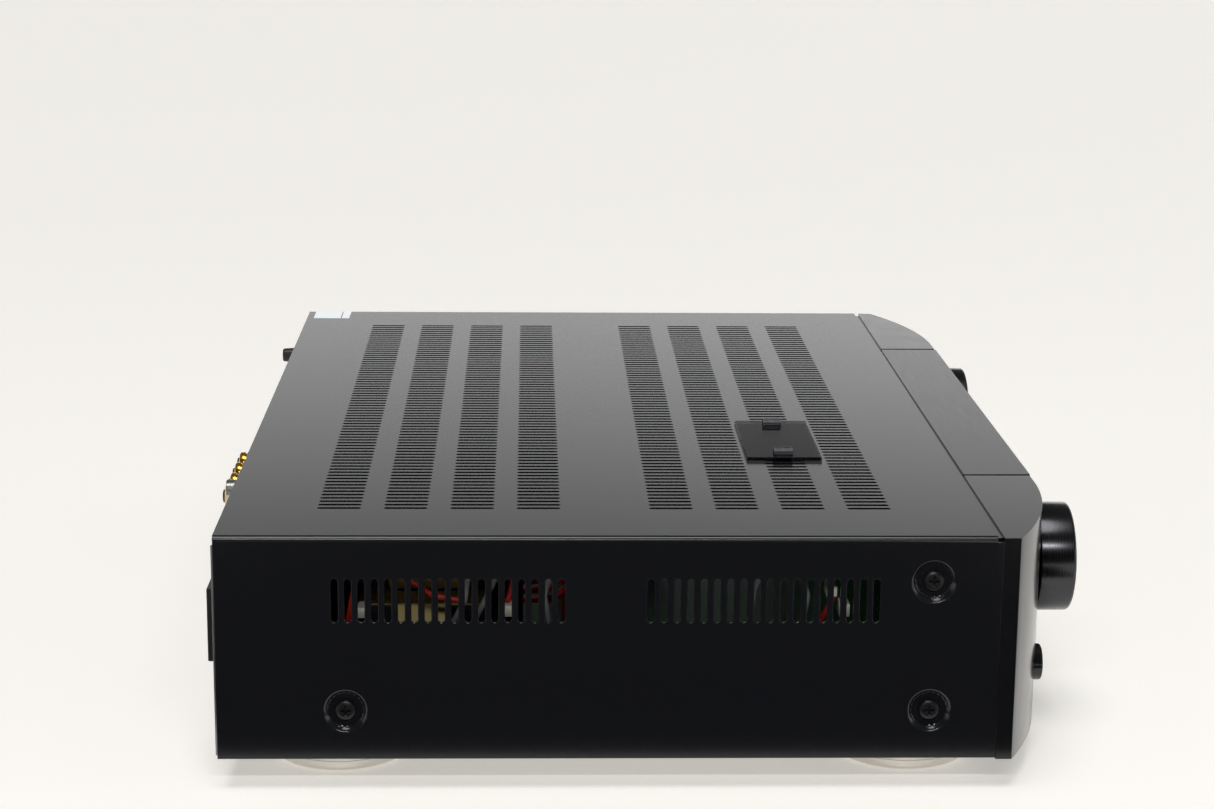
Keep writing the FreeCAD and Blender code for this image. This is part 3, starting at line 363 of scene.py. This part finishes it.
def makeLabelStock():
    # coated label stock: white, with a faint fibre and a painted glow that brightens it
    tree, shader, place = newMaterial("coatedLabel", "#E9EDEE", 0.4, Emission_Strength=0.4,
                                      Emission_Color=linear("#E9F0F4"))  # painted light: the label glows a little, though it is no lamp
    fibre = addNode(tree, "ShaderNodeTexNoise", {"Vector": place, "Scale": perMetre(0.8), "Detail": 3.0})
    tint = addNode(tree, "ShaderNodeValToRGB", {"Fac": fibre.outputs["Fac"]},
                   stops=[(0.3, "#E3E8EA"), (0.7, "#F4F6F6")])
    tree.links.new(tint.outputs["Color"], shader.inputs["Base Color"])
    wearSurface(tree, shader, fibre.outputs["Fac"], 0.003, 0.35, 0.5)


makePowderCoat()
makePaintedMoulding()
makeBrushedPlate()
makeTurned("turnedBlackAnodise", "#47474A", 0.27, 0.6, 1, 0.7, relief=0.002)
makeTurned("turnedAluminium", "#E8E4DC", 0.28, 0.5, 2, 0.6)
makeTurned("goldPlate", "#EBBB55", 0.2, 0.5, 1, 0.3)
makeTurned("turnedSteel", "#B9B8B4", 0.28, 0.4, 1, 0.5)
makeSheetMetal("zincPlate", "#A9A9A4", 0.35, 3)
# pale metal for the cover's rear edge strips: a painted highlight
makeSheetMetal("edgeHighlightSheet", "#8D8E90", 0.45, 1)
makeSheetMetal("nickelPlate", "#C9C6BE", 0.2, 2)
makeSheetMetal("tinPlate", "#B8B8B2", 0.3, 4)
makeSheetMetal("springSteel", "#48494C", 0.4, 1.5)
makeSheetMetal("blackOxide", "#2B2C2F", 0.34, 1.5, metallic=0.7)
makeSheetMetal("extrudedAluminium", "#8F9092", 0.4, 2)
makeMoulded("polishedAbs", "#101113", "#141517", 0.16, 5, relief=0.004)
makeMoulded("mouldedNylon", "#19191A", "#1F1F20", 0.42, 0.7)
makeMoulded("feltedRubber", "#1B1A19", "#24221F", 0.75, 0.8, relief=0.03)
makeMoulded("epoxyCase", "#19191A", "#232324", 0.5, 0.8)
makeMoulded("shrinkSleeve", "#15171C", "#1B1E26", 0.25, 4)
makeMoulded("redPvc", "#B0221A", "#C22B20", 0.35, 2)
makeMoulded("greyPvc", "#7B7D80", "#8A8C8E", 0.35, 2)
makeMoulded("naturalNylon", "#E6E0CF", "#F0ECE0", 0.4, 1)
makeMoulded("printedRule", "#2A2B2D", "#333436", 0.5, 1, relief=0.002)
makeMoulded("pointerPaint", "#D9D9D6", "#E4E4E2", 0.45, 1, relief=0.002)
makeBoardMask()
makeTape()
makeLaminations()
makeSmoked("smokedAcrylic", "#17181C", 0.35, 0.08)
makeSmoked("smokedSheet", "#050506", 0.0, 0.08, Alpha=0.62, IOR=1.1)
makeLabelStock()
print("materials made:", len(materials))

finishOf = {
    "case_paint": "satinPowderCoat", "panel_moulding": "paintedMoulding",
    "panel_aluminium": "brushedBlackAnodise",
    "knob_aluminium": "turnedBlackAnodise", "button_black": "polishedAbs", "window_acrylic": "smokedAcrylic",
    "foot_aluminium": "turnedAluminium", "pad_rubber": "feltedRubber", "screw_black": "blackOxide",
    "post_gold": "goldPlate", "post_black": "mouldedNylon", "jack_nickel": "nickelPlate",
    "rear_plastic": "mouldedNylon", "tuner_tin": "tinPlate", "core_steel": "varnishedLaminations",
    "winding_tape": "windingTape", "sink_aluminium": "extrudedAluminium", "epoxy_black": "epoxyCase",
    "capacitor_sleeve": "shrinkSleeve", "lead_red": "redPvc", "clip_film": "smokedSheet",
    "clip_steel": "springSteel", "label_paper": "coatedLabel", "zinc_steel": "zincPlate",
    "board_green": "solderMask", "shaft_steel": "turnedSteel", "control_zinc": "zincPlate",
}
paintedNodes = {"front_chassis": "satinPowderCoat"}  # painted like the cover, over its zinc
for name, node in nodes.items():
    node.data.materials.clear()
    node.data.materials.append(materials[paintedNodes.get(name, finishOf[slotOf[name]])])


# mesh helpers

easedPieces = []
edgeRules = {
    "weld": 0.002,      # mm: corners this close are one
    "level": 0.4,       # degrees: faces this close to level with each other are joined first
    "sharp": 30.0,      # degrees: edges that turn more than this are rounded
    "coverEase": 0.35,  # mm
    "flatReach": 50.0,  # degrees: a rounded edge takes a flat's normal up to this turn
    "square": 0.99995,  # a face whose normal lies this much along one axis is a flat
}


def addPiece(bm, name, material, body="chassis", replaced=(), sharpAngle=35):
    bmesh.ops.recalc_face_normals(bm, faces=bm.faces[:])
    mesh = bpy.data.meshes.new(name)
    bm.to_mesh(mesh)
    bm.free()
    mesh.polygons.foreach_set("use_smooth", [True] * len(mesh.polygons))
    mesh.set_sharp_from_angle(angle=math.radians(sharpAngle))
    mesh.materials.append(materials[material])
    piece = bpy.data.objects.new(name, mesh)
    bpy.context.scene.collection.objects.link(piece)
    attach(piece, body)
    if replaced:
        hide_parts(*replaced)
    return piece


def easedCopy(node, width, segments=2, skin=None):
    bm = bmesh.new()
    bm.from_mesh(nodes[node].data)
    bmesh.ops.remove_doubles(bm, verts=bm.verts[:], dist=edgeRules["weld"] * mm)
    if skin is None:
        level = math.radians(edgeRules["level"])
        bmesh.ops.dissolve_limit(bm, angle_limit=level, verts=bm.verts[:], edges=bm.edges[:])
    least = math.radians(edgeRules["sharp"])
    sharp = [edge for edge in bm.edges if edge.is_manifold and edge.calc_face_angle(0.0) > least]
    if skin is not None:
        sharp = [edge for edge in sharp if any(skin(face) for face in edge.link_faces)]
    bmesh.ops.bevel(bm, geom=sharp, offset=width * mm, segments=segments, profile=0.5, affect="EDGES",
                    material=-1, clamp_overlap=True)
    return bm


def easeNode(node, width, segments=2):
    # the same shape with its edges rounded, as a real pressing or moulding has them
    bm = easedCopy(node, width, segments)
    easedPieces.append(addPiece(bm, f"{node}.eased", finishOf[slotOf[node]], bodyOf[node], [node]))


def easeCover():
    # the outer edges of the two sides are rounded, slots and screw dishes too; the top's slots stay crisp
    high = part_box("top_cover")[1]

    def outerFace(face):
        middle, way = face.calc_center_median(), face.normal
        return abs(way.x) > 0.99 and way.x * middle.x > 0 and abs(middle.x) > high.x - 0.05 * mm

    bm = easedCopy("top_cover", edgeRules["coverEase"], 1, outerFace)
    easedPieces.append(addPiece(bm, "coverPressing", "satinPowderCoat", "chassis", ["top_cover"]))


def settleNormals(piece):
    # flats keep their own normal right up to the rounded edges beside them, so both shade cleanly
    mesh = piece.data
    square, reach = edgeRules["square"], math.cos(math.radians(edgeRules["flatReach"]))
    normals = [Vector(corner.vector) for corner in mesh.corner_normals]
    flatsAt = {}
    for face in mesh.polygons:
        if max(abs(part) for part in face.normal) > square:
            for vertex in face.vertices:
                flatsAt.setdefault(vertex, []).append(face.normal)
    for face in mesh.polygons:
        level = max(abs(part) for part in face.normal) > square
        for corner, vertex in zip(face.loop_indices, face.vertices):
            if level:
                normals[corner] = face.normal
            else:
                near = [flat for flat in flatsAt.get(vertex, []) if flat.dot(face.normal) > reach]
                if near:
                    normals[corner] = max(near, key=face.normal.dot)
    mesh.normals_split_custom_set(normals)


axisTurn = {
    "Y": Matrix.Rotation(math.radians(-90), 4, "X"), "-Y": Matrix.Rotation(math.radians(90), 4, "X"),
    "X": Matrix.Rotation(math.radians(90), 4, "Y"), "-X": Matrix.Rotation(math.radians(-90), 4, "Y"),
    "Z": Matrix.Identity(4),
}


def turn(bm, profile, place, axis, steps=64, ring=False):
    # profile is (radius, distance along the axis) in mm; a ring's profile closes on itself
    start = [bm.verts.new((radius * mm, 0, along * mm)) for radius, along in profile]
    pairs = list(zip(start, start[1:])) + ([(start[-1], start[0])] if ring else [])
    before = {vert for vert in bm.verts if vert not in start}
    edges = [bm.edges.new(pair) for pair in pairs]
    bmesh.ops.spin(bm, geom=start + edges, cent=(0, 0, 0), axis=(0, 0, 1), angle=math.tau, steps=steps,
                   use_merge=True)
    made = [vert for vert in bm.verts if vert not in before]
    bmesh.ops.remove_doubles(bm, verts=made, dist=0.001 * mm)
    made = [vert for vert in bm.verts if vert not in before]
    return made, Matrix.Translation(place) @ axisTurn[axis]


def layTurned(bm, profile, place, axis, steps=64, ring=False):
    made, laid = turn(bm, profile, place, axis, steps, ring)
    bmesh.ops.transform(bm, matrix=laid, verts=made)
    return made


def addBlock(bm, low, high, ease):
    made = bmesh.ops.create_cube(bm, size=1.0)["verts"]
    bmesh.ops.scale(bm, vec=Vector(high) - Vector(low), verts=made)
    bmesh.ops.translate(bm, vec=(Vector(low) + Vector(high)) / 2, verts=made)
    edges = list({edge for vert in made for edge in vert.link_edges})
    bmesh.ops.bevel(bm, geom=edges, offset=ease * mm, segments=2, profile=0.5, affect="EDGES", material=-1)


def nodeCentre(node):
    low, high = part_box(node)
    return (low + high) / 2, (high - low) / 2


# shapes kept from the frame, with eased edges

easing = {
    "fascia_left_end": 0.35, "fascia_right_end": 0.35, "fascia_center": 0.4,
    "rear_panel": 0.15, "bass_knob": 0.35, "treble_knob": 0.35, "balance_knob": 0.35, "power_button": 0.4,
    "speaker_button": 0.3, "tone_button": 0.3, "display_button": 0.3, "display_window": 0.3, "foot_pads": 0.2,
    "post_base": 0.5, "mains_inlet": 0.4, "clip_plate": 0.25, "ground_knob": 0.2, "ground_washer": 0.15,
    "post_plug_1": 0.25, "post_plug_2": 0.25, "post_plug_3": 0.25, "post_plug_4": 0.25, "tuner_module": 0.3,
    "transformer_core": 0.4, "transformer_winding": 3.0, "jack_plate": 0.2, "headphone_jack": 0.2,
}
for node, width in easing.items():
    easeNode(node, width, 3)
easeCover()
for piece in easedPieces:
    settleNormals(piece)
print("edges eased:", len(easedPieces))


# big knobs

knob = {"crown": 1.5, "dish": 0.4, "pointer": (11.5, 19.0), "pointerWidth": 1.0, "steps": 128}


def makeBigKnob(node, name):
    centre, half = nodeCentre(node)
    radius, depth = half.x / mm, half.y / mm * 2
    crown, dish = knob["crown"], knob["dish"]
    profile = [(0, 0), (radius - 0.9, 0), (radius - 0.2, 0.25), (radius, 0.9), (radius, depth - crown),
               (radius - 0.15, depth - crown * 0.62), (radius - 0.45, depth - crown * 0.29),
               (radius - 0.9, depth - crown * 0.08), (radius - 1.4, depth), (radius - 1.9, depth),
               (radius - 2.2, depth - dish * 0.7), (radius - 2.8, depth - dish), (0, depth - dish * 0.6)]
    bm = bmesh.new()
    layTurned(bm, profile, (centre.x, centre.y + half.y, centre.z), "-Y", knob["steps"])
    addPiece(bm, name, "turnedBlackAnodise", bodyOf[node], [node])
    low, high = knob["pointer"]
    bm = bmesh.new()
    face = centre.y - half.y
    addBlock(bm, (centre.x - knob["pointerWidth"] / 2 * mm, face + 0.02 * mm, centre.z + low * mm),
             (centre.x + knob["pointerWidth"] / 2 * mm, face + 0.6 * mm, centre.z + high * mm), 0.1)
    addPiece(bm, name + "Pointer", "pointerPaint", bodyOf[node])


makeBigKnob("selector_knob", "selectorKnob")
makeBigKnob("volume_knob", "volumeKnob")


tonePointer = {"half": 0.4, "low": 2.5, "high": 7.6, "depth": 0.5, "ease": 0.08,
               "inset": 0.002}  # mm; depth and inset go inward from the knob's face


def makeTonePointer(node, name):
    centre, half = nodeCentre(node)
    side, face = tonePointer["half"] * mm, centre.y - half.y
    bm = bmesh.new()
    addBlock(bm, (centre.x - side, face + tonePointer["inset"] * mm, centre.z + tonePointer["low"] * mm),
             (centre.x + side, face + tonePointer["depth"] * mm, centre.z + tonePointer["high"] * mm),
             tonePointer["ease"])
    addPiece(bm, name, "pointerPaint", bodyOf[node])


for node in ("bass_knob", "treble_knob", "balance_knob"):
    makeTonePointer(node, node.replace("_knob", "Pointer"))
print("knobs turned")


# feet

foot = {"groove": 3.6, "grooveDepth": 0.25, "steps": 128}


def makeFoot(node, name):
    centre, half = nodeCentre(node)
    radius, height = half.x / mm, half.z / mm * 2
    low, inner = foot["groove"], radius - foot["grooveDepth"]
    profile = [(0, 0), (radius - 1.2, 0), (radius - 0.4, 0.25), (radius - 0.05, 0.9), (radius, 1.3),
               (radius, low), (inner, low + 0.2), (inner, low + 0.6),
               (radius, low + 0.8), (radius, height - 1.1), (radius - 0.25, height - 0.5),
               (radius - 0.8, height - 0.1), (radius - 1.4, height), (0, height)]
    bm = bmesh.new()
    layTurned(bm, profile, (centre.x, centre.y, centre.z - half.z), "Z", foot["steps"])
    addPiece(bm, name, "turnedAluminium", bodyOf[node], [node])


for node in ("foot_front_left", "foot_front_right", "foot_rear_left", "foot_rear_right"):
    makeFoot(node, "turned" + "".join(word.title() for word in node.split("_")))


# screws with a cross recess

sideScrew = {"radius": 3.85, "height": 2.0, "recess": 2.1, "recessDepth": 1.2, "pinch": 0.42,
             "places": [(-108.5, 82.4), (-108.5, 31.4), (112.9, 31.4)]}  # (y, z) in mm


def screwHead(bm, place, axis, radius, height, recess, depth):
    profile = [(0, -1.5), (radius * 0.5, -1.5), (radius * 0.5, 0), (radius - 0.3, 0), (radius, 0.3),
               (radius, height * 0.45), (radius * 0.93, height * 0.75), (radius * 0.75, height * 0.95),
               (recess + 0.15, height), (recess, height - 0.12), (recess * 0.8, height - depth),
               (0, height - depth)]
    made, laid = turn(bm, profile, place, axis, 32)
    for vert in made:  # pinch the recess to a cross
        flat = Vector((vert.co.x, vert.co.y))
        if vert.co.z > (height - depth) * mm - 1e-7 and 1e-6 < flat.length < (recess + 0.02) * mm:
            angle = math.atan2(flat.y, flat.x) % (math.pi / 2)
            if math.radians(15) < angle < math.radians(75):
                vert.co.x *= sideScrew["pinch"]
                vert.co.y *= sideScrew["pinch"]
    bmesh.ops.transform(bm, matrix=laid, verts=made)


def makeSideScrews():
    low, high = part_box("side_cover_screws")
    bm = bmesh.new()
    for axis, face in (("-X", low.x), ("X", high.x)):
        seat = face + (sideScrew["height"] * mm if axis == "-X" else -sideScrew["height"] * mm)
        for y, z in sideScrew["places"]:
            screwHead(bm, (seat, y * mm, z * mm), axis, sideScrew["radius"], sideScrew["height"],
                      sideScrew["recess"], sideScrew["recessDepth"])
    addPiece(bm, "sideCoverScrews", "blackOxide", "chassis", ["side_cover_screws"])


makeSideScrews()
print("feet and screws made")


# loudspeaker posts

post = {"bore": 2.9, "knurlDepth": 0.16, "steps": 72}


def makePostCap(node, name):
    centre, half = nodeCentre(node)
    radius, length, bore = half.x / mm, half.y / mm * 2, post["bore"]
    profile = [(bore, 0), (radius - 0.5, 0), (radius, 0.5), (radius, 1.6), (radius - 0.5, 1.9),
               (radius - 0.5, 2.5),
               (radius, 2.8), (radius, length * 0.5), (radius, length - 3.6), (radius - 0.6, length - 3.3),
               (radius - 0.6, length - 2.7), (radius, length - 2.4), (radius, length - 0.7),
               (radius - 0.35, length - 0.2), (radius - 0.8, length), (bore + 0.2, length),
               (bore, length - 0.2)]
    bm = bmesh.new()
    made, laid = turn(bm, profile, (centre.x, centre.y - half.y, centre.z), "Y", post["steps"], ring=True)
    for vert in made:  # knurl the middle band
        flat = Vector((vert.co.x, vert.co.y))
        column = round(math.atan2(vert.co.y, vert.co.x) / math.tau * post["steps"])
        if column % 2 and flat.length > (radius - 0.05) * mm and 2.7 * mm < vert.co.z < (length - 3.5) * mm:
            vert.co.x *= 1 - post["knurlDepth"] / radius
            vert.co.y *= 1 - post["knurlDepth"] / radius
    bmesh.ops.transform(bm, matrix=laid, verts=made)
    addPiece(bm, name, "goldPlate", bodyOf[node], [node])


for number in range(1, 5):
    makePostCap(f"post_cap_{number}", f"postCap{number}")


# phono jacks: a plated sleeve round a coloured insulator

jack = {"radius": 4.15, "pitch": 20.0, "insulator": ("redPvc", "naturalNylon"), "pin": 1.7}


def makePhonoJacks():
    low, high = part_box("phono_jacks")
    radius, length = jack["radius"], (high.y - low.y) / mm
    sleeve = bmesh.new()
    rings = {material: bmesh.new() for material in jack["insulator"]}
    columns = round(((high.x - low.x) / mm - 2 * radius) / jack["pitch"]) + 1
    rows = round(((high.z - low.z) / mm - 2 * radius) / jack["pitch"]) + 1
    for row in range(rows):
        z = low.z + (radius + row * jack["pitch"]) * mm
        material = jack["insulator"][row]
        for column in range(columns):
            x = low.x + (radius + column * jack["pitch"]) * mm
            layTurned(sleeve, [(radius - 0.9, 0), (radius, 0), (radius, length - 0.5), (radius - 0.3, length),
                               (radius - 0.6, length), (radius - 0.9, length - 0.4)],
                      (x, low.y, z), "Y", 40, ring=True)
            layTurned(rings[material], [(jack["pin"], 0), (radius - 0.95, 0), (radius - 0.95, length - 1.0),
                                        (radius - 1.3, length - 0.7), (jack["pin"] + 0.2, length - 0.7),
                                        (jack["pin"], length - 1.0)], (x, low.y, z), "Y", 32, ring=True)
    addPiece(sleeve, "phonoSleeves", "nickelPlate", "chassis", ["phono_jacks"])
    for material, bm in rings.items():
        addPiece(bm, "phonoInsulators." + material, material, "chassis")


makePhonoJacks()


# spring clips on the plate: a strip folded over an arch, with two feet

clip = {"foot": 3.0, "bend": 2.2, "toe": 1.75, "arch": 1.55, "shoulder": 1.1, "crown": 0.5, "sheet": 0.35,
        "lift": 0.2}  # mm: half widths from the foot's end in to the crown


def makeSpringClips():
    low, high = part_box("spring_clips")
    bm = bmesh.new()
    rise, lift = (high.z - low.z) / mm, clip["lift"]
    climb = [(clip["foot"], lift), (clip["bend"], lift), (clip["toe"], 0.5), (clip["arch"], rise - 1.0),
             (clip["shoulder"], rise - 0.45), (clip["crown"], rise - lift)]
    section = [(-across, up) for across, up in climb] + climb[::-1]
    for x in (low.x + clip["foot"] * mm, high.x - clip["foot"] * mm):
        line = [bm.verts.new((x + across * mm, low.y + lift * mm, low.z + up * mm)) for across, up in section]
        edges = [bm.edges.new(pair) for pair in zip(line, line[1:])]
        swept = bmesh.ops.extrude_edge_only(bm, edges=edges)
        moved = [item for item in swept["geom"] if isinstance(item, bmesh.types.BMVert)]
        bmesh.ops.translate(bm, vec=(0, high.y - low.y - 2 * lift * mm, 0), verts=moved)
    bmesh.ops.recalc_face_normals(bm, faces=bm.faces[:])
    bmesh.ops.solidify(bm, geom=bm.faces[:], thickness=clip["sheet"] * mm)
    addPiece(bm, "springClips", "springSteel", "chassis", ["spring_clips"])


makeSpringClips()


# the label's one printed rule

rule = {"margin": 0.4, "from": 4.1, "to": 4.5, "sunk": 0.02, "proud": 0.012, "ease": 0.004}  # mm


def makeLabelRule():
    low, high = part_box("corner_label")
    bm = bmesh.new()
    addBlock(bm, (low.x + rule["margin"] * mm, low.y + rule["from"] * mm, high.z - rule["sunk"] * mm),
             (high.x - rule["margin"] * mm, low.y + rule["to"] * mm, high.z + rule["proud"] * mm),
             rule["ease"])
    addPiece(bm, "labelRule", "printedRule", "chassis")


# dark blocks over the winding's two ends, darkening them where they show through the slots

darkEnd = {"sheet": 1.0, "cover": 15.5, "inset": 2.0, "ease": 0.3}  # mm


def makeWindingDarkEnds():
    low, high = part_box("transformer_winding")
    bm = bmesh.new()
    inset = darkEnd["inset"] * mm
    for start, end in ((low.y, low.y + darkEnd["cover"] * mm), (high.y - darkEnd["cover"] * mm, high.y)):
        addBlock(bm, (low.x - darkEnd["sheet"] * mm, start, low.z + inset),
                 (low.x + inset, end, high.z - inset), darkEnd["ease"])
    addPiece(bm, "windingDarkEnds", "blackOxide", "chassis")


# what shows through the left side's slots; places are (y, z) in mm

wiring = {
    "tape": (70.0, 98.0, 78.5),  # y from, y to and top of the tape over the core's upper yoke
    "tapeProud": 0.8,
    "tapeSunk": 0.5,
    "tapeEase": 0.2,
    "tapeGap": 0.2,              # above the winding
    "wire": 1.1,                 # radius
    "wireInset": 7.0,            # from the pan's side to the first wire
    "wireStagger": 2.5,
    # plugs are (y, low z, high z)
    "plugs": [(106.5, 65.5, 69.5), (51.5, 66.0, 70.5), (-71.0, 74.0, 78.0), (-76.0, 66.0, 71.0)],
    "plugInset": 5.0,
    "plugWidth": 4.0,
    "plugDepth": 9.0,
    "plugEase": 0.3,
    "redRuns": [[(113, 60), (111, 70), (108, 86)], [(54, 62), (51, 74), (47, 88)],
                [(88, 80), (80, 74), (70, 72)], [(-66, 60), (-72, 72), (-71, 88)]],
    "greyRuns": [[(74, 60), (68, 72), (66, 88)], [(64, 64), (60, 72), (54, 86)],
                 [(36, 62), (38, 74), (34, 88)], [(-40, 62), (-42, 76), (-47, 88)],
                 [(-58, 88), (-62, 74), (-60, 60)]],
}


def layWire(bm, run, x):
    # a round wire through the (y, z) points, each joint filled by a ball
    points = [Vector((x, y, z)) * mm for y, z in run]
    for start, end in zip(points, points[1:]):
        along = (end - start).to_track_quat("Z", "Y").to_matrix().to_4x4()
        laid = Matrix.Translation((start + end) / 2) @ along
        bmesh.ops.create_cone(bm, cap_ends=True, segments=12, radius1=wiring["wire"] * mm,
                              radius2=wiring["wire"] * mm, depth=(end - start).length, matrix=laid)
    for point in points:
        bmesh.ops.create_uvsphere(bm, u_segments=12, v_segments=8, radius=wiring["wire"] * mm,
                                  matrix=Matrix.Translation(point))


def makeSideWiring():
    # taped yoke, plug housings and leads just inside the left side's slots
    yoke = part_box("transformer_core")[0].x
    front, rear, top = wiring["tape"]
    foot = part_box("transformer_winding")[1].z + wiring["tapeGap"] * mm
    bm = bmesh.new()
    addBlock(bm, (yoke - wiring["tapeProud"] * mm, front * mm, foot),
             (yoke + wiring["tapeSunk"] * mm, rear * mm, top * mm), wiring["tapeEase"])
    addPiece(bm, "yokeTape", "windingTape", "chassis")
    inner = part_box("base_pan")[0].x / mm
    bm = bmesh.new()
    near, half = inner + wiring["plugInset"], wiring["plugWidth"] / 2
    for y, low, high in wiring["plugs"]:
        addBlock(bm, (near * mm, (y - half) * mm, low * mm),
                 ((near + wiring["plugDepth"]) * mm, (y + half) * mm, high * mm), wiring["plugEase"])
    addPiece(bm, "plugHousings", "naturalNylon", "chassis")
    for name, runs, material, slotName in (("redLeads", wiring["redRuns"], "redPvc", "lead_red"),
                                           ("greyLeads", wiring["greyRuns"], "greyPvc", "capacitor_sleeve")):
        bm = bmesh.new()
        for count, run in enumerate(runs):
            layWire(bm, run, inner + wiring["wireInset"] + wiring["wireStagger"] * (count % 2))
        addPiece(bm, name, material, "chassis")


# the cover's rear edges: pale metal strips that paint the highlight along them

hem = {"from": 0.05, "to": 0.95, "sunk": 0.1, "proud": 0.6, "below": 1.5, "above": 3.5, "ease": 0.12}  # mm


def makeRearHem():
    low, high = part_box("top_cover")
    bm = bmesh.new()
    for side in (-1, 1):
        outer = low.x if side < 0 else high.x
        span = sorted((outer - side * hem["from"] * mm, outer - side * hem["to"] * mm))
        addBlock(bm, (span[0], high.y - hem["sunk"] * mm, low.z + hem["below"] * mm),
                 (span[1], high.y + hem["proud"] * mm, high.z - hem["above"] * mm), hem["ease"])
    addPiece(bm, "coverRearHem", "edgeHighlightSheet", "chassis")


makeLabelRule()
makeWindingDarkEnds()
makeSideWiring()
makeRearHem()
print("fittings made")
